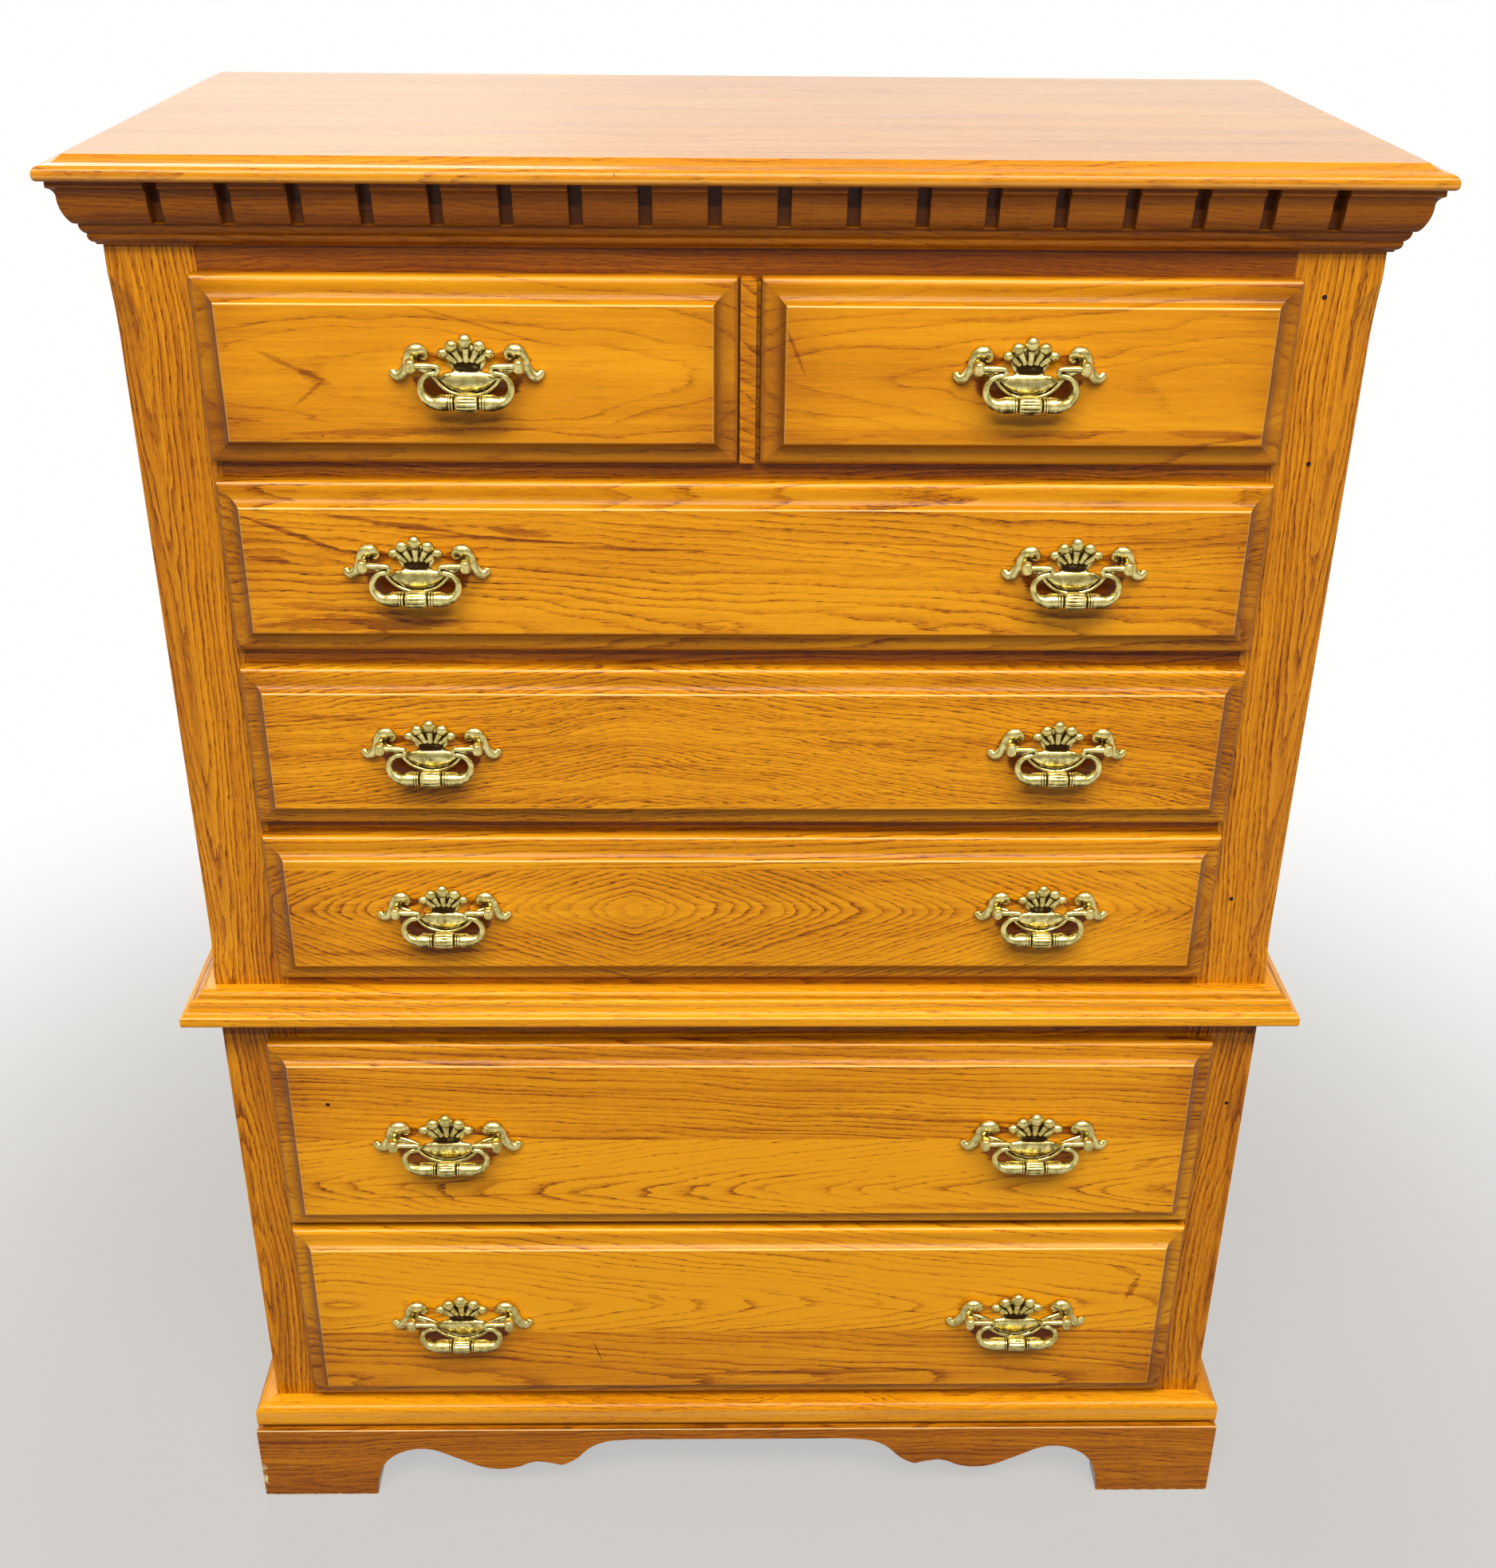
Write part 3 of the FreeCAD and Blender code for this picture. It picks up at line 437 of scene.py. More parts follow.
# Which axes run along the grain, across the board's face and through its thickness.
GRAIN_AXES = {"x": (0, 2, 1), "x flat": (0, 1, 2), "y": (1, 2, 0), "z": (2, 0, 1), "z side": (2, 1, 0)}
FIGURE_INPUTS = ("Heart", "Pith", "Depth", "Slope", "Wander", "Spacing", "Contrast", "Streak", "Seed")


def oak_figure():
    """Node group: darkness and pores of oak. The rings are long cones to both sides of a heart that lies
    at Heart along the board, at Pith across it and at Depth behind its face; Slope is their taper."""
    group = bpy.data.node_groups.new("oak figure", "ShaderNodeTree")
    g = Graph(group)
    face = group.interface
    face.new_socket("Vector", in_out="INPUT", socket_type="NodeSocketVector")
    for name in FIGURE_INPUTS:
        face.new_socket(name, in_out="INPUT", socket_type="NodeSocketFloat")
    for name in ("Dark", "Pores"):
        face.new_socket(name, in_out="OUTPUT", socket_type="NodeSocketFloat")
    given = g.node("NodeGroupInput").outputs
    offset = g.node("ShaderNodeVectorMath", {0: (311.0, 173.0, 97.0), "Scale": given["Seed"]},
                    operation="SCALE").outputs[0]
    place = g.node("ShaderNodeVectorMath", {0: given["Vector"], 1: offset}, operation="ADD").outputs[0]
    axes = g.parts(given["Vector"])

    def centred(lengths, detail=2.0, roughness=0.5):
        return g.take(g.cloud(place, lengths, detail, roughness), 0.5)

    # Distance from the wavy heart gives the rings.
    along = g.times(g.take(axes[0], given["Heart"]), given["Slope"])
    across = g.take(axes[1], given["Pith"])
    across = g.fit(centred((300, 200, 200), 1.0), given["Wander"], across)
    depth = g.add(axes[2], given["Depth"])
    along, across, depth = [g.times(v, v) for v in (along, across, depth)]
    taper = g.calc("SQRT", g.add(along, 2.0))
    radius = g.add(g.calc("SQRT", g.add(across, depth)), taper)
    radius = g.fit(centred((110, 34, 34), 1.5), g.times(given["Wander"], 0.7), radius)
    radius = g.fit(centred((48, 6, 6), 3.0, 0.6), 4.6, radius)
    ring = g.calc("DIVIDE", radius, given["Spacing"])
    uneven = g.node("ShaderNodeTexNoise", {"W": g.times(ring, 0.31), "Scale": 1.0, "Detail": 1.0},
                    noise_dimensions="1D").outputs[0]
    ring = g.fit(uneven, 2.2, ring)
    part = g.calc("FRACT", ring)
    lot = g.node("ShaderNodeTexWhiteNoise", {"W": g.calc("FLOOR", ring)}, noise_dimensions="1D").outputs[0]
    # Each ring starts with a dark band of pores that fades here and there.
    thin = g.times(given["Spacing"], 0.6)
    early = g.calc("POWER", g.take(1.0, part), thin)
    early = g.times(early, g.step_up(part, 0.0, 0.09))
    early = g.times(early, g.fit(lot, 0.55, 0.55))
    fading = g.step_up(g.cloud(place, (200, 30, 30), 2.0), 0.32, 0.66)
    early = g.times(early, g.fit(fading, 0.6, 0.5))
    pores = g.step_up(g.cloud(place, (9, 0.9, 0.9), 2.0, 0.6), 0.52, 0.62)
    pores = g.times(pores, g.fit(early, 1.1, 0.42), clamp=True)
    early = g.times(early, g.fit(pores, 0.4, 0.75))
    # Fibres, smudges and broad clouds lie over the rings.
    fibre = g.add(centred((60, 1.4, 1.4), 3.0, 0.7), centred((240, 6.0, 6.0), 3.0, 0.6))
    broad = centred((420, 38, 60), 2.0)
    smudge = g.step_up(g.cloud(place, (110, 8, 8), 3.0, 0.6), 0.62, 0.72)
    grain = g.fit(pores, 0.42, g.times(fibre, 0.75))
    grain = g.fit(smudge, 0.30, grain)
    dark = g.fit(early, given["Contrast"], 0.10)
    dark = g.fit(grain, given["Streak"], dark)
    dark = g.fit(broad, 0.55, dark)
    g.node("NodeGroupOutput", {"Dark": dark, "Pores": pores})
    return group


OAK = oak_figure()


def figure_of(g, vector, **values):
    """Darkness and pores of the oak figure with its own heart, spacing and so on."""
    inputs = {key.capitalize(): value for key, value in values.items()}
    return g.node("ShaderNodeGroup", {"Vector": vector, **inputs}, node_tree=OAK).outputs


def grain_space(g, grain):
    """Millimetres in the object's axes, and the same turned so that the grain runs along the first."""
    where = g.node("ShaderNodeTexCoord").outputs["Object"]
    millimetres = g.scaled(where, (1.0 / MM, 1.0 / MM, 1.0 / MM))
    axes = g.parts(millimetres)
    turned_axes = {k: axes[axis] for k, axis in enumerate(GRAIN_AXES[grain])}
    return millimetres, axes, g.node("ShaderNodeCombineXYZ", turned_axes).outputs[0]


def oak(name, grain, face, boards, spacing, contrast, streak, seed, wander=25.0, tone=0.0, split=(),
        shades=(0.0, 0.0), ends=None, holes=(), marks=(), pull_shadows=(), worn=None, lacquer=0.55, index=1.27):
    """Lacquered oak. face is where the visible face lies through the thickness; boards gives (heart,
    pith, depth, slope) of each board glued side by side at the split places, and shades how much darker
    each is; spacing is the width of a ring and wander how far it strays, contrast and streak the
    strength of rings and fibres; tone darkens it all; ends is the (middle, half length) past which the
    toner darkens; marks are dark strokes (x, z, x, z, half width, strength) broken along the grain, and
    pull_shadows strokes of the same kind with whole edges that paint the shadow of the pulls; worn is a
    corner whose finish is chipped."""
    material, g = new_material(name)
    millimetres, axes, vector = grain_space(g, grain)
    order = GRAIN_AXES[grain]
    figures = [figure_of(g, vector, heart=heart, pith=pith, depth=deep - face, slope=slope, wander=wander,
                         spacing=spacing, contrast=contrast, streak=streak, seed=seed + 1.7 * k)
               for k, (heart, pith, deep, slope) in enumerate(boards)]
    darks = [g.add(figure[0], shade) for figure, shade in zip(figures, shades)]
    dark, pores = darks[0], figures[0][1]
    for height, later, figure in zip(split, darks[1:], figures[1:]):
        share = g.step_up(axes[order[1]], height - 0.15, height + 0.15)
        dark = g.node("ShaderNodeMix", {0: share, 2: dark, 3: later}).outputs[0]
        pores = g.node("ShaderNodeMix", {0: share, 2: pores, 3: figure[1]}).outputs[0]
    blotch = g.cloud(vector, (150, 60, 60), 2.0)
    dark = g.add(dark, tone)
    if marks or pull_shadows:
        ragged = g.cloud(vector, (22, 2.2, 2.2), 3.0, 0.65)
        even = g.fit(ragged, 0.5, 0.25)
        for mark, edge in [(mark, ragged) for mark in marks] + [(shadow_stroke, even) for shadow_stroke in pull_shadows]:
            dark = g.add(dark, stroke(g, axes, edge, *mark))
    if ends:
        away = g.calc("ABSOLUTE", g.take(axes[order[0]], ends[0]))
        toner = g.step_up(g.fit(blotch, 90.0, away), ends[1] - 20.0, ends[1] + 75.0)
        dark = g.fit(toner, 0.30, dark)
    colour = finished(g, g.ramp(dark, OAK_TONES), blotch, order[0])
    colour = specks(g, millimetres, colour)
    for hole in holes:
        away = g.node("ShaderNodeVectorMath", {0: millimetres, 1: hole}, operation="DISTANCE")
        colour = g.blend(g.step_up(away.outputs["Value"], HOLE_REACH, HOLE_RADIUS), colour, HOLE)
    if worn:
        colour = chipped(g, millimetres, axes, colour, worn)
    ripple = g.cloud(vector, (70, 10, 10), 1.0)
    height = g.fit(ripple, 0.5, g.times(pores, -1.0))
    g.finish({"Base Color": colour, "Roughness": g.fit(pores, 0.25, g.fit(blotch, 0.10, 0.22)),
              "Normal": g.bump(height, 0.35, 0.00014), "Specular IOR Level": 0.06, "Coat Weight": lacquer,
              "Coat Roughness": 0.13, "Coat IOR": index})
    return material


def finished(g, colour, blotch, along):
    """Dark end grain, made strong enough to paint the shade on the side coves; dark glazing with painted
    shade in the recesses; and painted highlights on the arrises, strongest where they look up.
    """
    normal = g.parts(g.node("ShaderNodeNewGeometry").outputs["Normal"])
    # Faces across the grain darken as end grain does, strongly enough to also paint the shade on the side
    # coves.
    cut = g.step_up(g.calc("ABSOLUTE", normal[along]), 0.12, 0.75)
    colour = g.blend(g.times(cut, 0.65), colour, END_GRAIN_AND_SIDE_SHADE)
    glaze_and_painted_light = g.node("ShaderNodeAttribute", attribute_name="glaze_and_painted_light").outputs["Fac"]
    # Negative values paint a highlight on the arrises, strongest where they face up towards the lamps.
    upward = g.fit(g.step_up(normal[2], -0.1, 0.35), 0.85, 0.15)
    painted_highlight = g.times(glaze_and_painted_light, g.fit(blotch, -1.2, -0.2), clamp=True)
    painted_highlight = g.times(painted_highlight, upward)
    glaze_and_painted_light = g.times(glaze_and_painted_light, g.fit(blotch, 0.7, 0.55), clamp=True)
    colour = g.blend(glaze_and_painted_light, colour, GLAZE_AND_SHADE)
    return g.blend(painted_highlight, colour, ARRIS_HIGHLIGHT)


def stroke(g, axes, ragged, x0, z0, x1, z1, half, strength):
    """Dark streak from one point of the front to another, thinning towards both ends."""
    length = math.hypot(x1 - x0, z1 - z0)
    ux = (x1 - x0) / length
    uz = (z1 - z0) / length
    x = g.take(axes[0], x0)
    z = g.take(axes[2], z0)
    share = g.times(g.fit(x, ux, g.times(z, uz)), 1.0 / length)
    away = g.calc("ABSOLUTE", g.fit(z, ux, g.times(x, -uz)))
    width = g.times(g.times(share, g.take(1.0, share)), 4.0 * half)
    width = g.times(width, g.fit(ragged, 3.0, -0.5))
    return g.times(g.step_up(g.take(width, away), -0.4, 0.35 * half), strength)


def chipped(g, millimetres, axes, colour, corner):
    """Bare wood where the finish has chipped off a vertical corner near the floor and along the foot."""
    flat = [g.take(axes[k], corner[k]) for k in (0, 1)]
    away = g.calc("SQRT", g.add(*[g.times(v, v) for v in flat]))
    ragged = g.cloud(millimetres, (7, 7, 12), 3.0, 0.6)
    edge = g.step_up(g.fit(ragged, -9.0, away), 0.6, -0.4)
    low = g.step_up(axes[2], 46.0, 30.0)
    patch = g.step_up(g.cloud(millimetres, (26, 26, 17), 1.0), 0.42, 0.50)
    bare = g.times(g.times(edge, low), patch)
    scuffed = g.step_up(g.fit(ragged, -5.0, axes[2]), -0.4, -1.4)
    bare = g.calc("MAXIMUM", bare, g.times(scuffed, 0.6))
    return g.blend(bare, colour, RAW_WOOD)


def specks(g, millimetres, colour):
    """Small dark marks scattered over the finish."""
    cells = g.node("ShaderNodeTexVoronoi", {"Vector": millimetres, "Scale": 1.0 / SPECK_SPACING,
                                            "Randomness": 1.0})
    pick = g.node("ShaderNodeSeparateColor", {0: cells.outputs["Color"]}).outputs
    near = g.step_up(cells.outputs["Distance"], 0.026, 0.014)
    mark = g.times(near, g.step_up(pick[0], 0.45, 0.50))
    return g.blend(g.times(mark, 0.85), colour, SPECK)


# ---- other materials ----
BRIGHT_BRASS = (0.74, 0.65, 0.27)
DULL_BRASS = (0.52, 0.43, 0.14)
PATINA_AND_SHADE = (0.040, 0.021, 0.006)
BOARD_TONES = ((0.52, 0.34, 0.17), (0.27, 0.15, 0.07))
BOX_TONES = ((0.66, 0.48, 0.27), (0.40, 0.24, 0.11))


def plain_wood(name, light, dark, grain="x", rough=0.55):
    """Unstained board with faint figure, for boxes and hidden boards."""
    material, g = new_material(name)
    vector = grain_space(g, grain)[2]
    figure = figure_of(g, vector, heart=-900.0, pith=20.0, depth=90.0, slope=0.06, wander=30.0, spacing=8.0,
                       contrast=0.5, streak=0.5, seed=4.0)
    g.finish({"Base Color": g.blend(g.add(figure[0], 0.0, clamp=True), light, dark),
              "Roughness": g.fit(figure[1], 0.2, rough),
              "Normal": g.bump(g.take(0.0, figure[1]), 0.3, 0.00015)})
    return material


def aged_brass():
    """Cast brass: brown patina in the hollows, painted shade on the parts that face down and on the collar,
    worn bright on the high parts.
    """
    material, g = new_material("aged_brass")
    millimetres = grain_space(g, "x")[0]
    hollows_and_shade = g.node("ShaderNodeAttribute", attribute_name="hollows_and_shade").outputs["Fac"]
    mottle = g.cloud(millimetres, (6, 6, 6), 3.0, 0.6)
    upright = g.parts(g.node("ShaderNodeTexCoord").outputs["Normal"])[2]
    # Painted shade: the patina spreads over the parts that face down.
    below = g.times(g.step_up(upright, 0.15, -0.75), 0.17)
    patina_and_shade = g.step_up(g.fit(mottle, 0.36, g.add(hollows_and_shade, below)), 0.61, 0.82)
    bright = g.blend(g.step_up(mottle, 0.38, 0.62), BRIGHT_BRASS, DULL_BRASS)
    fine = g.cloud(millimetres, (0.9, 0.9, 0.9), 2.0)
    g.finish({"Base Color": g.blend(patina_and_shade, bright, PATINA_AND_SHADE),
              "Roughness": g.fit(patina_and_shade, 0.34, g.fit(fine, 0.12, 0.15)),
              "Normal": g.bump(g.cloud(millimetres, (2.5, 2.5, 2.5), 2.0), 0.2, 0.0003), "Metallic": 1.0})
    return material


# ---- case ----
def finish_boards():
    """Rounded boards in place of the plain ones of both cases."""
    middle = (FRONT + BACK) / 2.0
    figures = {"upper_side_left": ((1150.0, middle - 60.0, 14.0, 0.05),),
               "upper_side_right": ((760.0, middle + 30.0, 10.0, 0.05),),
               "lower_side_left": ((420.0, middle - 20.0, 12.0, 0.06),),
               "lower_side_right": ((240.0, middle - 70.0, 16.0, 0.06),)}
    for seed, (name, boards) in enumerate(figures.items()):
        low, high = span(name)
        shape = Shape()
        board(shape, low, high, 0.3)
        face = low[0] if name.endswith("left") else high[0]
        material = oak(name, "z side", face, boards, spacing=5.5, contrast=0.8, streak=0.7, tone=0.02,
                       seed=11.0 + seed)
        case_piece(name + "_board", shape, material, name)
    # Dark tones of the top rail and drawer rails: partly darker wood, partly painted shade under the top's
    # overhang and behind the drawer fronts.
    rails = {"upper_top_rail": (1150.0, 0.66), "upper_drawer_rails": (1080.0, 0.40),
             "upper_foot_rail": (600.0, 0.30), "lower_rails": (560.0, 0.18)}
    for seed, (name, (pith, tone)) in enumerate(rails.items()):
        shape = Shape()
        for low, high in solids_of(name):
            board(shape, low, high, 0.35)
        material = oak(name, "x", FRONT, ((-200.0, pith, 12.0, 0.04),), spacing=3.5, contrast=0.5, streak=0.6,
                       tone=tone, seed=21.0 + seed)
        case_piece(name + "_wood", shape, material, name)


# Small holes in the right stiles, as x and z.
STILE_HOLES = [(411.4, 1185.5), (418.7, 1062.3), (411.0, 683.5), (445.3, 651.0), (435.1, 469.5)]


def chamfer_share(z):
    """Share of the full chamfer that is cut at height z."""
    top = (CHAMFER_TOP - z) / CHAMFER_TOP_RUN
    foot = (z - CHAMFER_FOOT) / CHAMFER_FOOT_RUN
    s = max(0.0, min(1.0, top, foot))
    return math.sin(s * math.pi / 2.0) ** 0.9


def stile_plan(share):
    """Plan of the right stile with its corner cut by a share of the chamfer."""
    least = 0.04
    cut = least + (1.0 - least) * share
    return eased([(OPEN_HALF, FRONT), (CASE_HALF - CHAMFER_FACE * cut, FRONT),
                  (CASE_HALF, FRONT + CHAMFER_SIDE * cut), (CASE_HALF, FRAME_BACK), (OPEN_HALF, FRAME_BACK)],
                 0.35, math.radians(5.0))


def stiles():
    """Upper stiles lofted through the stops of their chamfers, and plain lower ones."""
    levels = [SEAT_Z, SEAT_Z + 0.4]
    levels += [CHAMFER_FOOT + CHAMFER_FOOT_RUN * k / 12.0 for k in range(13)]
    levels += [CHAMFER_TOP - CHAMFER_TOP_RUN * k / 12.0 for k in range(12, -1, -1)]
    levels += [CASE_TOP - 0.4, CASE_TOP]
    for side, sign in (("left", -1), ("right", 1)):
        shape = Shape()
        shape.loft([[(sign * x, y, z) for x, y in stile_plan(chamfer_share(z))] for z in levels])
        holes = [(x, FRONT, z) for x, z in STILE_HOLES] if sign > 0 else ()
        look = dict(spacing=4.0, contrast=0.75, streak=0.7, wander=14.0, holes=holes)
        name = "upper_stile_" + side
        material = oak(name, "z", FRONT, ((1140.0, sign * 436.0, 5.0, 0.05),), tone=0.16, seed=31.0 + sign,
                       **look)
        case_piece(name + "_wood", shape, material, name)
        name = "lower_stile_" + side
        shape = Shape()
        board(shape, *span(name), 0.8)
        material = oak(name, "z", FRONT, ((260.0, sign * 446.0, 6.0, 0.06),), tone=0.24, seed=35.0 + sign,
                       **look)
        case_piece(name + "_wood", shape, material, name)


def run_place(side):
    """Turns (out, z) at either end of a run into a point; the runs are mitred at the front corners."""
    if side == "front":
        return lambda out, z, end: (end * (CASE_HALF + out), FRONT - out, z)
    sign = {"left": -1, "right": 1}[side]
    return lambda out, z, end: (sign * (CASE_HALF + out), BACK if end > 0 else FRONT - out, z)


def moulding(node_name, outline, materials, shade_and_highlight):
    """Three mitred runs of one closed profile round the front and the sides; shade_and_highlight gives, at
    each profile point, dark glazing with painted shade above zero and a painted highlight below zero.
    """
    outline = eased(outline, MOULDING_ARRIS)
    for side in ("front", "left", "right"):
        place = run_place(side)
        shape = Shape()
        shape.loft([[place(out, z, end) for out, z in outline] for end in (-1, 1)])
        shape.glaze_and_painted_light = [shade_and_highlight(out, z) for out, z in outline] * 2
        case_piece("%s_%s" % (node_name, side), shape, materials[side == "front"], node_name)


def moulding_oak(name, pith, **look):
    """Oak for the side runs and for the front run of a moulding."""
    return [oak(name + "_side", "y", 0.0, ((-400.0, pith, 40.0, 0.03),), **look),
            oak(name + "_front", "x", FRONT, ((-500.0, pith, 20.0, 0.03),), **look)]


def profile(steps, reach, tall, top):
    """Outline of a moulding from the case at its top down to the case at its foot."""
    return traced((0.0, 0.0), steps, lambda q: (q[0] * reach, top - q[1] * tall))


def mouldings():
    """Waist and base mouldings, darkened by glazing and painted shade in their quirks and fillet, with
    painted highlights on their arrises.
    """
    top = SEAT_Z + WAIST_RISE
    outline = profile(WAIST, WAIST_OUT, WAIST_HEIGHT, top)
    quirks = [top - share * WAIST_HEIGHT for share in (0.182, 0.354)]

    # Dark glazing and painted shade in the two quirks, and a painted highlight on the arris below them.
    def waist_shade_and_highlight(out, z):
        if min(abs(z - quirk) for quirk in quirks) < 0.5:
            return 0.45
        return -0.5 if abs(z - top + 0.65 * WAIST_HEIGHT) < 0.5 else 0.0
    woods = moulding_oak("waist", top - 40.0, spacing=3.0, contrast=0.4, streak=0.5, tone=-0.06, seed=42.0)
    moulding("waist_moulding", outline, woods, waist_shade_and_highlight)
    top = BASE_HEIGHT + BASE_MOULD_HEIGHT
    outline = profile(BASE_MOULD, BASE_MOULD_OUT, BASE_MOULD_HEIGHT, top)

    # Glazing and painted shade in the fillet above the brackets, and a painted highlight on the bead.
    def base_shade_and_highlight(out, z):
        if z < BASE_HEIGHT + 0.125 * BASE_MOULD_HEIGHT and out > 1.0:
            return 0.9
        return -0.7 if abs(z - top + 0.307 * BASE_MOULD_HEIGHT) < 1.2 else 0.0
    woods = moulding_oak("base", top - 50.0, spacing=3.0, contrast=0.45, streak=0.6, tone=0.03, seed=44.0)
    moulding("base_moulding", outline, woods, base_shade_and_highlight)


def top_slab():
    """Top board lofted downwards from its flat face through its moulded edge."""
    flat = -TOP_EDGE_RUN
    thick = HEIGHT - CASE_TOP
    overhang = span("top_panel")[1][0] - CASE_HALF
    edge = traced((0.0, 0.0), TOP_EDGE, lambda q: (flat + q[0] * TOP_EDGE_RUN, -q[1] * thick), 12)
    rings = []
    glaze_and_painted_light = []
    for out, drop in [(flat - 1.0, 0.0)] + edge:
        # A band of rings low on the edge carries a painted highlight line.
        painted_highlight = 0.74 < -drop / thick < 0.88
        glaze_and_painted_light.append(-0.8 if painted_highlight else 0.0)
        out = min(out, 0.0)
        reach = CASE_HALF + overhang + out
        front = FRONT - overhang - out
        plan = eased([(-reach, BACK), (-reach, front), (reach, front), (reach, BACK)], MITRE_ROUND)
        rings.append([(x, y, HEIGHT + drop) for x, y in plan])
    shape = Shape()
    shape.loft(rings, glaze_and_painted_light)
    material = oak("top", "x flat", HEIGHT, ((-300.0, -120.0, 10.0, 0.05), (260.0, 150.0, -14.0, 0.05)),
                   split=(14.0,), spacing=5.0, contrast=0.5, streak=0.5, tone=0.20, seed=51.0, lacquer=1.0,
                   index=1.30)
    case_piece("top_slab", shape, material, "top_panel")


def crown():
    """Backing with the small coves, and the blocks that the notches leave in front of it."""
    def at(q):
        return (q[0] * CROWN_OUT, CASE_TOP - q[1] * CROWN_HEIGHT)
    ledge = CASE_TOP - DENTIL_TALL
    backing = [(0.0, CASE_TOP), (DENTIL_FLOOR_OUT, CASE_TOP), (DENTIL_FLOOR_OUT, ledge), (LEDGE_OUT, ledge)]
    backing += traced(CROWN_UNDER[0][0], CROWN_UNDER[1:], at)
    over = [(DENTIL_FLOOR_OUT, CASE_TOP)] + traced(CROWN_OVER[0][0], CROWN_OVER[1:], at)
    over.append((DENTIL_FLOOR_OUT, ledge))
    # The crown's dark tone is partly painted shade under the top's overhang.
    woods = moulding_oak("crown", CASE_TOP - 60.0, spacing=3.5, contrast=0.22, streak=0.35, tone=0.50,
                         seed=61.0)

    # Dark glazing value on the floors of the notches, which paints their shade.
    def notch_floor_shade(out, z):
        return 0.7 if z > ledge - 0.5 and out < DENTIL_FLOOR_OUT + 0.5 else 0.0
    moulding("crown_moulding", backing, woods, notch_floor_shade)
    crown_blocks(eased(over, 0.9), woods)


def block_row(over, place, cuts, last):
    """Blocks of one section between the cuts; None stands for a mitred end."""
    shape = Shape()
    slim = inset(over, DENTIL_ARRIS)
    half = DENTIL_WIDTH / 2.0
    for a, b in zip([None] + [c + half for c in cuts], [c - half for c in cuts] + [last]):
        if a is None:
            rings = [[place(out, z, None) for out, z in over]]
        else:
            rings = [[place(out, z, a) for out, z in slim],
                     [place(out, z, a + DENTIL_ARRIS) for out, z in over]]
        if b is None:
            rings.append([place(out, z, None, True) for out, z in over])
        else:
            rings += [[place(out, z, b - DENTIL_ARRIS) for out, z in over],
                      [place(out, z, b) for out, z in slim]]
        shape.loft(rings)
    return shape


def crown_blocks(over, woods):
    """Rows of blocks along the front and the sides."""
    first = CASE_HALF - DENTIL_END
    pitch = 2.0 * first / (DENTIL_COUNT - 1)

    def front_place(out, z, x, far=False):
        if x is None:
            x = CASE_HALF + out if far else -CASE_HALF - out
        return (x, FRONT - out, z)
    cuts = [k * pitch - first for k in range(DENTIL_COUNT)]
    row = block_row(over, front_place, cuts, None)
    case_piece("crown_blocks_front", row, woods[1], "crown_moulding")
    count = 1 + int((BACK - FRONT - DENTIL_END) / pitch)
    cuts = [FRONT + DENTIL_END + k * pitch for k in range(count)]
    for side, sign in (("left", -1), ("right", 1)):
        def side_place(out, z, y, far=False, sign=sign):
            return (sign * (CASE_HALF + out), FRONT - out if y is None else y, z)
        row = block_row(over, side_place, cuts, BACK)
        case_piece("crown_blocks_" + side, row, woods[0], "crown_moulding")


def scalloped(half_width, arch, scallop):
    """Outline of a bracket about its middle: straight top, feet at both ends and a scalloped arch."""
    run, tall = arch
    half_span = half_width - FOOT_WIDTH

    def side(sign):
        return traced((0.0, 0.0), scallop, lambda q: (sign * (half_span - q[0] * run), q[1] * tall), 6)
    right = side(1)
    left = side(-1)
    block = [(half_width, 0.0), (half_width, BASE_HEIGHT), (-half_width, BASE_HEIGHT), (-half_width, 0.0)]
    return block + left + right[::-1]


def bracket_loft(outline, place):
    """Bracket from its rounded face, whose arrises carry a painted highlight, back to its inner side."""
    shape = Shape()
    shape.loft([[place(u, z, depth) for u, z in inset(outline, slim)] for slim, depth, _ in BRACKET_STEPS],
               [glaze_and_painted_light for _, _, glaze_and_painted_light in BRACKET_STEPS])
    return shape


def brackets():
    """Scalloped front and sides of the base, mitred at the corners."""
    outer = CASE_HALF + BASE_OUT
    y_front = FRONT - BASE_OUT
    look = dict(spacing=5.0, contrast=0.5, streak=0.7, tone=0.42, worn=(-outer, y_front))
    outline = eased(scalloped(outer, FRONT_ARCH, FRONT_SCALLOP), BRACKET_ROUND)

    def front_place(x, z, depth):
        limit = outer - depth
        return (max(-limit, min(limit, x)), y_front + depth, z)
    material = oak("bracket", "x", y_front, ((120.0, 20.0, 8.0, 0.05),), seed=71.0, **look)
    case_piece("bracket_front_wood", bracket_loft(outline, front_place), material, "bracket_front")
    middle = (y_front + BACK) / 2.0
    outline = eased(scalloped((BACK - y_front) / 2.0, SIDE_ARCH, SIDE_SCALLOP), BRACKET_ROUND)
    for side, sign in (("left", -1), ("right", 1)):
        def side_place(y, z, depth, sign=sign):
            return (sign * (outer - depth), max(middle + y, y_front + depth), z)
        name = "bracket_side_" + side
        material = oak(name, "y", 0.0, ((-80.0, 30.0, 30.0, 0.05),), seed=72.0, **look)
        case_piece(name, bracket_loft(outline, side_place), material, "bracket_sides")


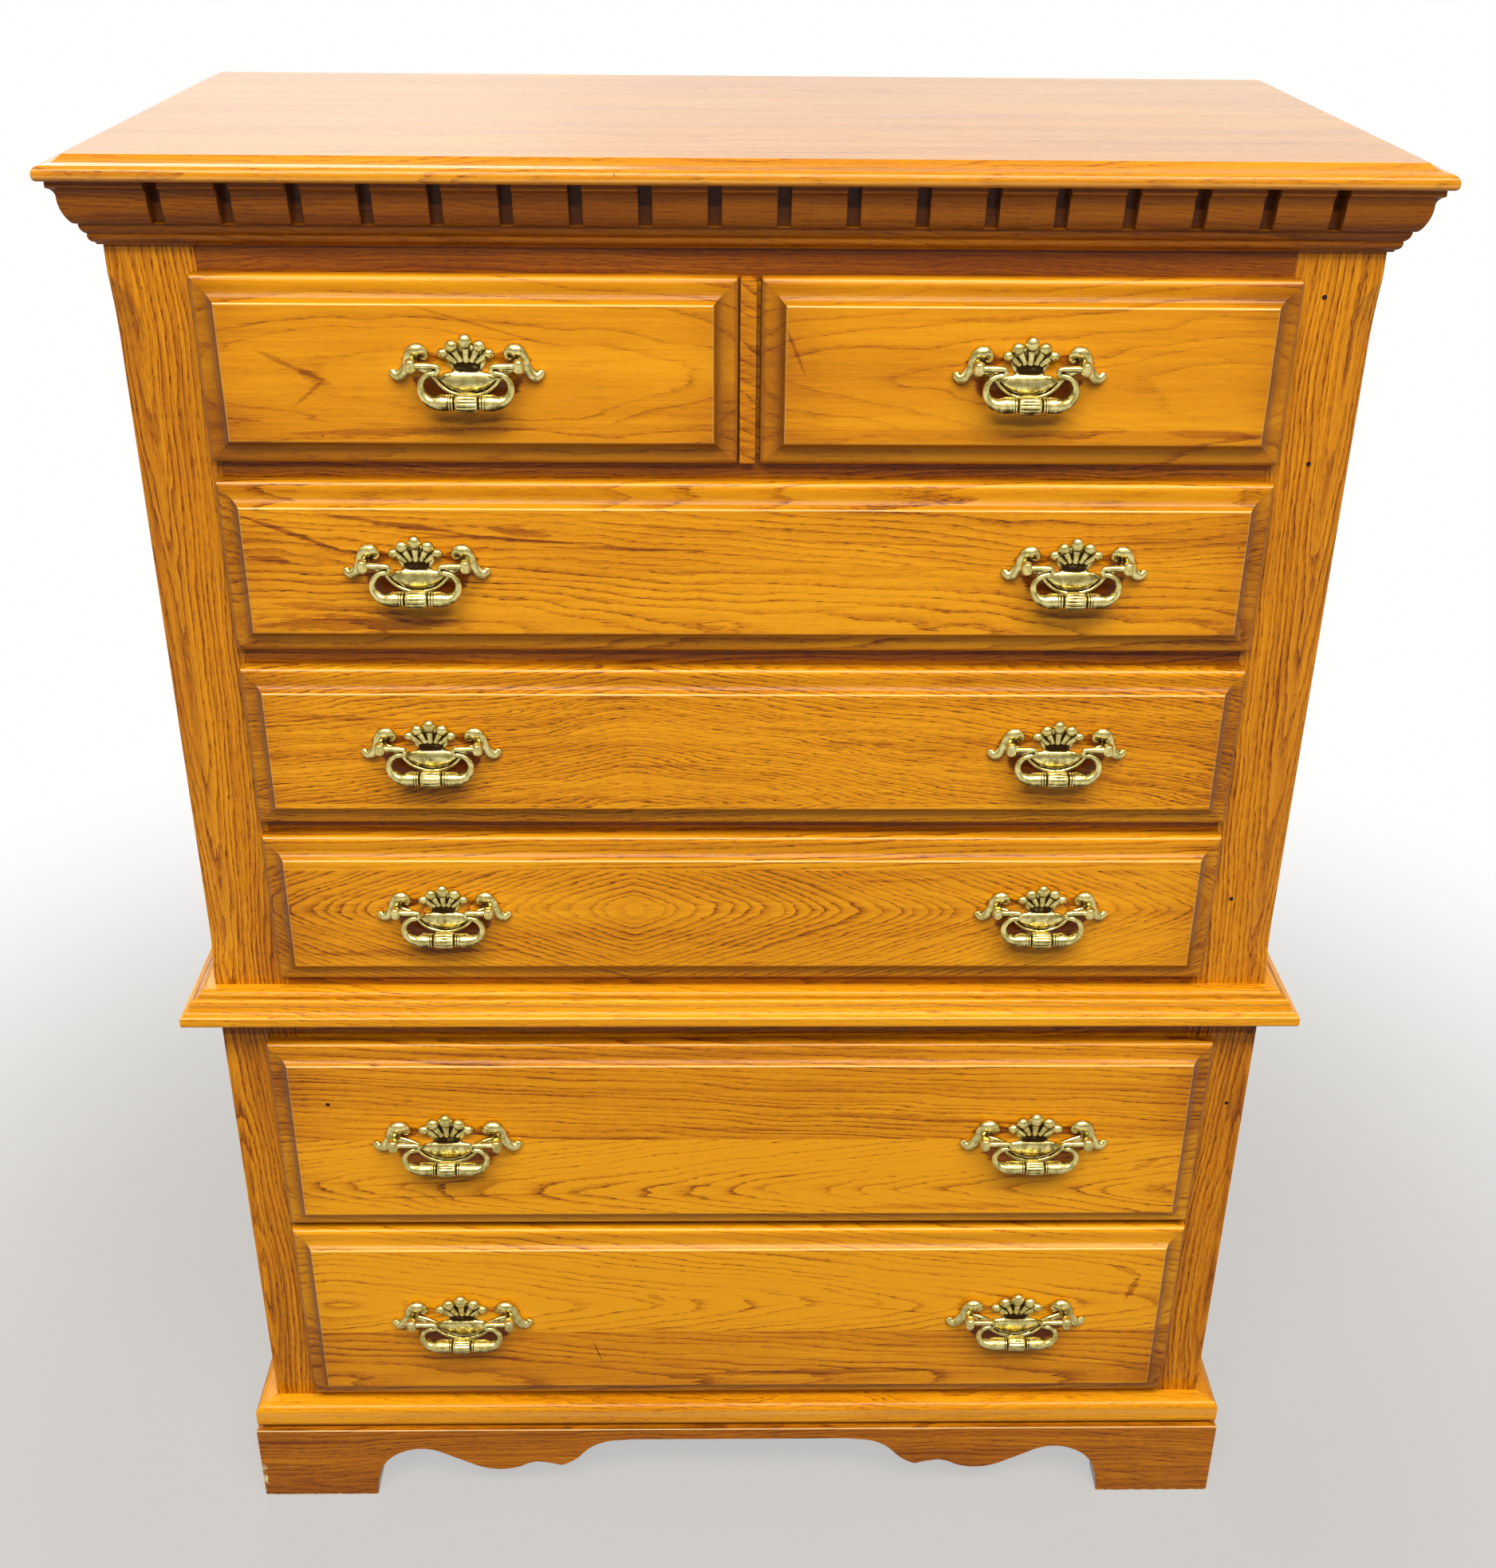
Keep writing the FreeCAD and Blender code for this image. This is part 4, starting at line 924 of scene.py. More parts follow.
def divider():
    """Upright between the small drawers, and its proud strip with the grain lying across."""
    low, high = span("centre_divider")
    foot = span("upper_drawer_rails")[1][2]
    head = span("upper_top_rail")[0][2]
    shape = Shape()
    board(shape, (low[0], FRONT, foot), (high[0], FRAME_BACK, head), 0.3)
    board(shape, (-STRIP_HALF, low[1], low[2]), (STRIP_HALF, FRONT, high[2]), 0.9)
    material = oak("divider", "x", low[1], ((-60.0, 1040.0, 6.0, 0.5),), spacing=9.0, contrast=0.8,
                   streak=0.7, tone=0.22, seed=81.0)
    case_piece("centre_divider_wood", shape, material, "centre_divider")


# ---- drawers ----
def moulded_front(name, wood):
    """Drawer front lofted from its lip through its moulded edge to its raised field."""
    low, high = span(name + "_front")
    rings = []
    for edge, out, _ in FRONT_EDGE:
        plan = rectangle(low[0] + edge, low[2] + edge, high[0] - edge, high[2] - edge)
        radius = max(0.25, FRONT_CORNER - 0.5 * edge)
        rings.append([(x, FRONT - out, z) for x, z in eased(plan, radius)])
    shape = Shape()
    shape.loft(rings, [dark for _, _, dark in FRONT_EDGE])
    piece(name + "_face", shape.mesh(name), name, wood, [name + "_front"])


def pull_spots(name):
    """Size of a drawer's pulls, and the (tag, x, z) of each: one in the middle or one near each end."""
    low, high = span(name + "_front")
    size = LOWER_PULL if name in ("drawer_5", "drawer_6") else 1.0
    edge = LOWER_PULL_INSET if size > 1.0 else UPPER_PULL_INSET
    z = (low[2] + high[2]) / 2.0 + PULL_RISE
    if name.startswith("drawer_1"):
        return size, [("", (low[0] + high[0]) / 2.0, z)]
    return size, [("_left", low[0] + edge, z), ("_right", high[0] - edge, z)]


def painted_pull_shadows(name):
    """Painted shadow of the pulls on the wood, as strokes."""
    size, spots = pull_spots(name)
    return tuple((x + a * size, z + b * size, x + c * size, z + d * size, half * size, strength)
                 for _, x, z in spots for a, b, c, d, half, strength in PULL_SHADOW_STROKES)


def drawers():
    """Each front has its own boards of (heart, pith, depth, slope), joints between them and figure."""
    looks = {
        "drawer_1_left": dict(
            boards=((-60.0, 1050.0, 30.0, 0.06), (-240.0, 1132.0, 26.0, 0.11)), split=[1096.8],
            shades=(0.11, 0.05), spacing=12.0, contrast=0.6, streak=0.5, wander=30.0, seed=3.0,
            marks=((-352.0, 1150.0, -300.0, 1126.0, 2.4, 0.26), (-302.0, 1128.0, -326.0, 1108.0, 1.6, 0.24),
                   (-322.0, 1134.0, -296.0, 1124.0, 4.0, 0.2), (-340.0, 1088.0, -150.0, 1092.0, 3.4, 0.2),
                   (-256.0, 1186.0, -130.0, 1150.0, 0.8, 0.2))),
        "drawer_1_right": dict(
            boards=((420.0, 1050.0, 30.0, 0.06), (330.0, 1124.0, 22.0, 0.12)), split=[1092.8],
            shades=(0.10, 0.05), spacing=10.0, contrast=0.55, streak=0.45, wander=30.0, seed=5.4,
            marks=((25.0, 1170.0, 42.0, 1130.0, 1.3, 0.25), (300.0, 1092.0, 376.0, 1088.0, 4.0, 0.2))),
        "drawer_2": dict(
            boards=((-700.0, 930.0, 30.0, 0.05), (260.0, 1052.0, 24.0, 0.06)), split=[987.2],
            shades=(0.0, 0.02), spacing=5.6, contrast=0.8, streak=0.7, wander=20.0, seed=7.1,
            marks=((-378.0, 1027.0, -296.0, 996.0, 1.9, 0.45), (-326.0, 1029.0, -196.0, 1010.0, 2.2, 0.42),
                   (-262.0, 1014.0, -120.0, 1004.0, 1.8, 0.38), (-196.0, 1018.0, -142.0, 1010.0, 5.0, 0.3),
                   (-160.0, 1002.0, -20.0, 1000.0, 1.4, 0.35), (-120.0, 1022.0, 10.0, 1013.0, 1.3, 0.35),
                   (-374.0, 994.0, -340.0, 990.0, 2.8, 0.35), (-380.0, 938.0, -200.0, 942.0, 8.0, 0.34),
                   (-368.0, 957.0, -250.0, 949.0, 4.0, 0.26), (40.0, 1008.0, 180.0, 1003.0, 1.2, 0.3))),
        "drawer_3": dict(
            boards=((520.0, 700.0, 30.0, 0.03), (-90.0, 740.0, 24.0, 0.17)), split=[784.0],
            shades=(-0.08, 0.02), spacing=3.0, contrast=0.80, streak=0.8, wander=22.0, seed=9.3,
            marks=((150.0, 846.0, 240.0, 828.0, 3.0, 0.2), (-372.0, 862.0, -260.0, 858.0, 2.4, 0.25))),
        "drawer_4": dict(
            boards=((-90.6, 685.1, 9.0, 0.36), (700.0, 610.0, 40.0, 0.03)), split=[722.0],
            shades=(0.0, -0.08), spacing=4.8, contrast=0.95, streak=0.6, wander=9.0, seed=12.6,
            marks=((-376.0, 640.0, -180.0, 646.0, 3.4, 0.22),)),
        "drawer_5": dict(
            boards=((420.0, 388.9, 12.0, 0.14), (-600.0, 380.0, 30.0, 0.05)), split=[445.0],
            shades=(-0.20, 0.05), spacing=6.0, contrast=1.0, streak=0.7, wander=16.0, seed=15.2,
            marks=((350.0, 408.0, 379.0, 424.0, 4.0, 0.3), (-360.0, 392.0, -180.0, 402.0, 1.1, 0.35),
                   (-364.0, 378.0, -150.0, 384.0, 1.1, 0.35), (80.0, 366.0, 300.0, 370.0, 5.0, 0.3),
                   (60.0, 474.0, 250.0, 462.0, 6.0, 0.2)),
            holes=[(-362.7, FRONT - FIELD_OUT, 484.1)]),
        "drawer_6": dict(
            boards=((-380.0, 150.0, 30.0, 0.06), (-379.3, 250.0, 12.0, 0.13)), split=[216.0],
            shades=(0.12, -0.20), spacing=7.0, contrast=1.0, streak=0.65, wander=18.0, seed=18.8,
            marks=((-36.0, 235.0, 63.0, 255.0, 0.9, 0.3), (60.0, 255.0, 206.0, 234.0, 0.9, 0.3),
                   (-90.0, 263.0, -68.0, 254.0, 3.0, 0.4), (344.0, 297.0, 378.0, 282.0, 3.5, 0.4),
                   (374.0, 286.0, 362.0, 252.0, 4.0, 0.42), (-139.0, 204.0, -131.0, 178.0, 0.6, 0.5),
                   (-80.0, 160.0, 220.0, 166.0, 4.0, 0.3), (-368.0, 280.0, -250.0, 268.0, 1.0, 0.3))),
    }
    for name, look in looks.items():
        low, high = span(name + "_front")
        half = (high[0] - low[0]) / 2.0
        middle = (high[0] + low[0]) / 2.0
        pull_shadows = painted_pull_shadows(name)
        moulded_front(name, oak(name, "x", FRONT - FIELD_OUT, ends=(middle, half), pull_shadows=pull_shadows, **look))


# ---- pulls ----
def circle(count):
    """Angles of evenly spaced points round a circle."""
    return [math.tau * i / count for i in range(count)]


def tube(shape, points, radii, count=16, flat=1.0):
    """Round bar along points in a plane parallel to the front; flat thins it front to back."""
    rings = []
    depth = Vector((0.0, 1.0, 0.0))
    for k, (point, radius) in enumerate(zip(points, radii)):
        ahead = Vector(points[min(k + 1, len(points) - 1)]) - Vector(points[max(k - 1, 0)])
        side = ahead.cross(depth).normalized()
        rings.append([Vector(point) + side * (radius * math.cos(a)) + depth * (radius * flat * math.sin(a))
                      for a in circle(count)])
    shape.loft(rings)


def smooth_path(points, radii, steps=5):
    """Catmull-Rom curve through points, with radii that follow."""
    result = []
    sizes = []
    for k in range(len(points) - 1):
        a, b, c, d = [Vector(points[max(0, min(len(points) - 1, k + j))]) for j in (-1, 0, 1, 2)]
        for s in range(steps):
            t = s / steps
            result.append(0.5 * (2 * b + (c - a) * t + (2 * a - 5 * b + 4 * c - d) * t * t
                                 + (3 * b - a - 3 * c + d) * t ** 3))
            sizes.append(radii[k] * (1 - t) + radii[k + 1] * t)
    result.append(Vector(points[-1]))
    sizes.append(radii[-1])
    return result, sizes


def turned(shape, x, steps, count):
    """Turned shape along y through x, of (y, radius)."""
    shape.loft([[(x + r * math.cos(a), y, r * math.sin(a)) for a in circle(count)] for y, r in steps])


def mirrored(path, sign):
    """Path with its x times sign."""
    return [(sign * x, y, z) for x, y, z in path]


def dome(shape, centre, radii, count=20):
    """Ellipsoid."""
    rings = []
    for a in circle(count)[1:count // 2]:
        rings.append([(centre[0] + radii[0] * math.sin(a) * math.cos(b),
                       centre[1] + radii[1] * math.sin(a) * math.sin(b),
                       centre[2] + radii[2] * math.cos(a)) for b in circle(count)])
    shape.loft(rings)


# Back plate about the middle of the bail axis: x from the middle, y out of the field as minus, z up.
# Ribs of the shell on one side: their path, radii, and the knob at the tip with its radii.
SHELL = [([(0.0, -3.2, 0.0), (0.0, -3.7, 4.0), (0.0, -4.0, 9.0), (0.0, -4.0, 13.0)], [1.9, 2.2, 2.8, 3.6],
          (0.0, -4.4, 15.4), (5.0, 4.0, 5.6)),
         ([(3.8, -3.1, 0.0), (5.2, -3.6, 3.6), (7.2, -3.9, 7.4), (8.7, -3.7, 9.8)], [1.8, 2.1, 2.6, 3.3],
          (9.7, -4.0, 12.0), (4.7, 3.7, 4.5)),
         ([(7.0, -2.9, -0.4), (9.6, -3.3, 1.8), (12.6, -3.4, 4.2), (14.9, -3.3, 5.6)], [1.7, 2.0, 2.4, 3.0],
          (16.4, -3.6, 6.8), (4.3, 3.4, 3.6))]
# Web between the ribs: middle and radii.
WEB = ((0.0, -0.3, 1.0), (13.8, 2.2, 11.0))
# Leaf round a post, from its inner tip over the top to its tail, with the radii along it.
LEAF = ([(31.0, -1.8, 2.0), (30.0, -2.8, 5.6), (32.8, -3.6, 8.4), (36.8, -3.6, 8.0), (39.8, -3.2, 4.0),
         (41.8, -2.8, -1.0), (44.2, -2.6, -5.6), (47.2, -2.6, -9.0), (50.0, -2.6, -9.6), (52.4, -2.2, -7.8),
         (53.2, -1.8, -5.2)],
        [2.4, 4.0, 5.6, 5.6, 4.6, 3.8, 3.8, 4.0, 3.8, 3.0, 2.1])
# Link from the post to the collar, likewise.
LINK = ([(40.0, -1.2, -2.0), (33.0, -1.6, -4.2), (27.0, -2.2, -6.4), (21.0, -2.4, -9.0)],
        [2.8, 2.6, 3.0, 2.6])
# Collar between shell and dish: its section, its levels (z, width, swell), and the patch of painted
# shade under the shell, as half width, lowest and highest z.
COLLAR = [(-9.9, 0.0), (-9.7, 2.2), (-9.0, 2.9), (9.0, 2.9), (9.7, 2.2), (9.9, 0.0)]
COLLAR_LEVELS = [(-8.4, 1.0, 0.9), (-7.0, 1.02, 0.8), (-4.0, 0.96, 0.7), (-1.0, 0.88, 0.8), (1.4, 0.8, 1.0)]
COLLAR_SHADE_PATCH = (9.5, -6.2, 1.6)
# Half outlines of the dish from its middle to its side, its bulge from foot to brow as shares of its
# height and depth, and the thin rim that hangs below it.
DISH_HALF = 21.8
DISH_BROW = [(0.0, -6.6), (10.0, -6.7), (15.0, -7.8), (21.8, -11.2)]
DISH_FOOT = [(0.0, -23.2), (5.0, -22.6), (10.0, -20.8), (15.0, -17.6), (21.8, -12.0)]
DISH_BULGE = [(0.0, 0.1), (0.02, 0.55), (0.08, 0.82), (0.18, 0.97), (0.30, 1.0), (0.46, 0.96), (0.64, 0.86),
              (0.80, 0.72), (0.91, 0.56), (0.97, 0.38), (1.0, 0.1)]
DISH_RIM = ([(-24.8, -1.8, -10.0), (-19.0, -2.4, -17.0), (-11.5, -2.6, -22.0), (0.0, -2.6, -24.6),
             (11.5, -2.6, -22.0), (19.0, -2.4, -17.0), (24.8, -1.8, -10.0)],
            [1.2, 1.4, 1.4, 1.4, 1.4, 1.4, 1.2])


def level(points, x):
    """Height of a symmetrical outline at x."""
    x = abs(x)
    for (x0, z0), (x1, z1) in zip(points, points[1:]):
        if x <= x1:
            t = (x - x0) / (x1 - x0)
            return z0 + (z1 - z0) * t * t * (3.0 - 2.0 * t) * 0.5 + (z1 - z0) * t * 0.5
    return points[-1][1]


def dish(shape):
    """Boat-shaped boss whose face leans back above its full lower edge, and the thin rim below it."""
    rings = []
    for k in range(-20, 21):
        x = DISH_HALF * k / 20.5
        low = level(DISH_FOOT, x)
        tall = level(DISH_BROW, x) - low
        proud = 1.6 + 3.2 * min(1.0, tall / 14.0)
        section = [(0.0, 0.6)] + [(u * tall, -proud * share) for u, share in DISH_BULGE] + [(tall, 0.6)]
        rings.append([(x, y, low + z) for z, y in section])
    shape.loft(rings)
    points, radii = smooth_path(*DISH_RIM)
    tube(shape, points, radii, 14)


def plate_cast():
    """Sculpted back plate at its smaller size: shell, collar, dish, leaves and links, not yet melted."""
    shape = Shape()
    for path, sizes, tip, knob in SHELL:
        for sign in (1,) if tip[0] == 0.0 else (-1, 1):
            points, radii = smooth_path(mirrored(path, sign), sizes)
            tube(shape, points, radii, 14, 0.8)
            dome(shape, (sign * tip[0], tip[1], tip[2]), knob)
    dome(shape, *WEB)
    shape.loft([[(x * width, 0.6 - y * swell, z) for x, y in COLLAR] for z, width, swell in COLLAR_LEVELS])
    for sign in (-1, 1):
        for path, sizes, flat in ((LEAF[0], LEAF[1], 0.74), (LINK[0], LINK[1], 0.75)):
            points, radii = smooth_path(mirrored(path, sign), sizes)
            tube(shape, points, radii, 16, flat)
    dish(shape)
    return shape


HOLLOW_STEPS = 18           # rounds of smoothing that find the hollows
HOLLOW_DEPTH = 1.3          # twice the depth of a full hollow


def melted(shape, name, voxel, smooth, cut_y):
    """One watertight casting of overlapping shapes, flat behind cut_y, with its hollows marked."""
    source = linked(name, shape.mesh(name))
    remesh = source.modifiers.new("melt", "REMESH")
    remesh.mode = "VOXEL"
    remesh.voxel_size = voxel * MM
    soften = source.modifiers.new("soften", "SMOOTH")
    soften.factor = 0.5
    soften.iterations = smooth
    bpy.context.view_layer.update()
    data = bpy.data.meshes.new_from_object(source.evaluated_get(bpy.context.evaluated_depsgraph_get()))
    bpy.data.objects.remove(source)
    work = bmesh.new()
    work.from_mesh(data)
    bmesh.ops.bisect_plane(work, geom=work.verts[:] + work.edges[:] + work.faces[:],
                           plane_co=(0, cut_y * MM, 0), plane_no=(0, 1, 0), clear_outer=True)
    rim = [e for e in work.edges if e.is_boundary]
    bmesh.ops.holes_fill(work, edges=rim, sides=0)
    bmesh.ops.recalc_face_normals(work, faces=work.faces)
    work.to_mesh(data)
    work.free()
    mark_hollows(data)
    data.shade_smooth()
    data.set_sharp_from_angle(angle=math.radians(50.0))
    return data


def mark_hollows(data):
    """Stores how far each vertex lies below its smoothed surroundings, 0.5 on flat parts."""
    work = bmesh.new()
    work.from_mesh(data)
    work.verts.ensure_lookup_table()
    start = [v.co.copy() for v in work.verts]
    normals = [v.normal.copy() for v in work.verts]
    links = [[e.other_vert(v).index for e in v.link_edges] for v in work.verts]
    now = start
    for _ in range(HOLLOW_STEPS):
        now = [sum((now[j] for j in ring), Vector()) / len(ring) if ring else now[i]
               for i, ring in enumerate(links)]
    hollow = [max(0.0, min(1.0, 0.5 + (a - b).dot(n) / (HOLLOW_DEPTH * MM)))
              for a, b, n in zip(now, start, normals)]
    work.free()
    layer = data.attributes.new("hollows_and_shade", "FLOAT", "POINT")
    layer.data.foreach_set("value", hollow)


def collar_shade(plate):
    """Paints shade on the collar below the shell's ribs, through the patina."""
    half, low, high = (v * MM for v in COLLAR_SHADE_PATCH)
    layer = plate.attributes["hollows_and_shade"].data
    for vertex in plate.vertices:
        if abs(vertex.co.x) < half and low < vertex.co.z < high and vertex.co.y > -3.6 * MM:
            layer[vertex.index].value += 0.11


def post_heads():
    """Upright rounded barrels that take the bail's pins, each on a waisted stem."""
    shape = Shape()
    barrel = [(-5.0, 2.4), (-4.4, 3.6), (-3.2, 4.25), (0.0, 4.45), (3.2, 4.25), (4.4, 3.6), (5.0, 2.4)]
    stem = [(-AXIS_OUT + 2.0, 3.0), (-9.0, 3.0), (-6.0, 3.2), (-4.2, 4.0), (-1.2, 4.8)]
    for sign in (-1, 1):
        x = sign * POST_HALF
        shape.loft([[(x + 4.1 * math.cos(a) * r / 4.45, -AXIS_OUT + r * math.sin(a), z) for a in circle(20)]
                    for z, r in barrel])
        turned(shape, x, stem, 20)
    return shape


def nuts(size):
    """Shanks and hexagonal nuts behind the inner front."""
    shape = Shape()
    inside = FIELD_OUT - LIP_GAP + BOX_FRONT
    for sign in (-1, 1):
        x = sign * POST_HALF * size
        turned(shape, x, [(-2.0, 3.0), (inside + 4.6, 3.0)], 18)
        turned(shape, x, [(inside, 6.5), (inside + 2.9, 6.5), (inside + 3.5, 5.8)], 6)
    return shape


# Turned grip from a ring inwards: place from the middle and radius.
GRIP = [(13.3, 4.2), (13.0, 5.0), (12.5, 5.8), (12.0, 6.0), (11.5, 5.8), (11.15, 4.5), (10.8, 4.5),
        (10.5, 5.8), (10.0, 6.0), (9.5, 5.8), (9.1, 4.5), (8.6, 4.3), (8.2, 4.9), (7.8, 5.9), (7.1, 6.5),
        (5.2, 6.9), (2.6, 7.1)]
GRIP_MIDDLE = (0.0, 7.1)
GRIP_POINTS = 56            # round each ring of the grip
REEDS = 14
REED_HALF = 7.6             # reeds end here, from the middle
REED_DEPTH = 0.55
BAIL_RADII = [2.4, 2.4, 2.3, 2.2, 2.2, 2.2, 2.2, 2.25, 2.3, 2.5, 2.9, 3.6, 4.6, 5.6, 6.0, 5.9, 5.2]


def bail_shape(size):
    """Swan-neck bail in the plane of its axis; its pins and necks follow the size of the pull."""
    shape = Shape()
    turn = 21.5 * size
    pin = (POST_HALF + 1.9) * size
    loop = (BAIL_DROP - 5.0) / 2.0
    for sign in (-1, 1):
        path = [(pin, 0.0), (turn + 6.0, 0.0), (turn + 1.5, -0.1)]
        path += [(turn - 2.5 * math.sin(a), -2.5 + 2.5 * math.cos(a)) for a in (0.8, 1.6, 2.4)]
        path += [(turn + 0.6, -5.1)]
        path += [(turn + loop * math.sin(a), -5.0 - loop + loop * math.cos(a))
                 for a in (0.45, 0.9, 1.4, 1.9, 2.4)]
        path += [(turn + 3.0, -BAIL_DROP + 0.5), (turn - 0.8, -BAIL_DROP), (turn - 3.6, -BAIL_DROP),
                 (14.0, -BAIL_DROP), (12.2, -BAIL_DROP)]
        points, sizes = smooth_path([(sign * x, 0.0, z) for x, z in path], BAIL_RADII, 4)
        tube(shape, points, sizes, 18)
    rings = []
    for x, r in GRIP + [GRIP_MIDDLE] + [(-x, r) for x, r in reversed(GRIP)]:
        reed = REED_DEPTH if abs(x) < REED_HALF else 0.0
        ring = []
        for a in circle(GRIP_POINTS):
            radius = r - reed * (0.5 - 0.5 * math.cos(REEDS * a)) ** 2
            ring.append((x, radius * math.cos(a), -BAIL_DROP + radius * math.sin(a)))
        rings.append(ring)
    shape.loft(rings)
    return shape


def scaled_mesh(data, size):
    """Copy of a mesh at another size."""
    copy = data.copy()
    copy.transform(Matrix.Scale(size, 4))
    return copy


def joined(meshes, name):
    """One mesh of several, hollows kept."""
    work = bmesh.new()
    for data in meshes:
        work.from_mesh(data)
    result = bpy.data.meshes.new(name)
    work.to_mesh(result)
    work.free()
    return result


def pulls(brass):
    """Plate with posts and nuts, and bail, of each pull; each size is cast once and copied."""
    plate = melted(plate_cast(), "plate_cast", 0.42, 4, 0.0)
    collar_shade(plate)
    head = melted(post_heads(), "post_heads", 0.4, 3, -1.0)
    made = {}
    for size in (1.0, LOWER_PULL):
        bolts = nuts(size).mesh("shanks")
        mark_hollows(bolts)
        parts = [scaled_mesh(plate, size), scaled_mesh(head, size), bolts]
        made[size] = (joined(parts, "pull_plate"), melted(bail_shape(size), "bail_cast", 0.36, 1, 20.0))
    for name in ["drawer_1_left", "drawer_1_right"] + ["drawer_%d" % k for k in range(2, 7)]:
        size, spots = pull_spots(name)
        for tag, x, z in spots:
            plate_data, bail_data = (data.copy() for data in made[size])
            plate_data.transform(Matrix.Translation(Vector((x, FRONT - FIELD_OUT, z)) * MM))
            axis_y = FRONT - FIELD_OUT - AXIS_OUT * size
            bail_data.transform(Matrix.Translation(Vector((x, axis_y, z)) * MM))
            piece(name + "_plate" + tag, plate_data, name, brass, [name + "_pull_plates"], False)
            bail_name = name + "_bail" + tag
            piece(bail_name + "_cast", bail_data, bail_name, brass, [bail_name], False)


# ---- hidden boards ----
def dress_cad(names, material):
    """Gives CAD nodes a material and leaves their shape."""
    for name in names:
        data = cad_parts[name].data
        data.materials.clear()
        data.materials.append(material)


# ---- stage ----
FOCAL = 2294.82             # focal length in pixels of a frame FRAME_WIDTH wide
FRAME_WIDTH = 1876.0
SENSOR = 36.0
PITCH = 0.48504             # turns of the camera in radians
YAW = -0.01921
ROLL = 0.01002
CAMERA_X = -22.09
CAMERA_AWAY = 1311.86       # in front of the case front plane
CAMERA_HEIGHT = 1483.83


def camera():
    """Camera that looks down at the chest from just above its top."""
    data = bpy.data.cameras.new("camera")
    data.sensor_width = SENSOR
    data.sensor_fit = "HORIZONTAL"
    data.lens = FOCAL / FRAME_WIDTH * SENSOR
    obj = linked("camera", data)
    right0 = Vector((math.cos(YAW), math.sin(YAW), 0.0))
    ahead0 = Vector((-math.sin(YAW), math.cos(YAW), 0.0))
    up = Vector((0.0, 0.0, 1.0))
    ahead = math.cos(PITCH) * ahead0 - math.sin(PITCH) * up
    up0 = math.sin(PITCH) * ahead0 + math.cos(PITCH) * up
    right = math.cos(ROLL) * right0 + math.sin(ROLL) * up0
    top = -math.sin(ROLL) * right0 + math.cos(ROLL) * up0
    turn = Matrix((right, top, -ahead)).transposed().to_4x4()
    place = Vector((CAMERA_X, FRONT - CAMERA_AWAY, CAMERA_HEIGHT)) * MM
    obj.matrix_world = Matrix.Translation(place) @ turn
    bpy.context.scene.camera = obj


WARM = (1.0, 0.95, 0.83)
FAR = 40.0                  # half of the floor's side in metres


def lamp(name, place, aim, size, power):
    """Warm rectangular lamp at place that shines at aim, in metres and watts."""
    data = bpy.data.lights.new(name, "AREA")
    data.shape = "RECTANGLE"
    data.size, data.size_y = size
    data.energy = power
    data.color = WARM
    obj = linked(name, data)
    turn = (Vector(aim) - Vector(place)).to_track_quat("-Z", "Y").to_matrix().to_4x4()
    obj.matrix_world = Matrix.Translation(Vector(place)) @ turn


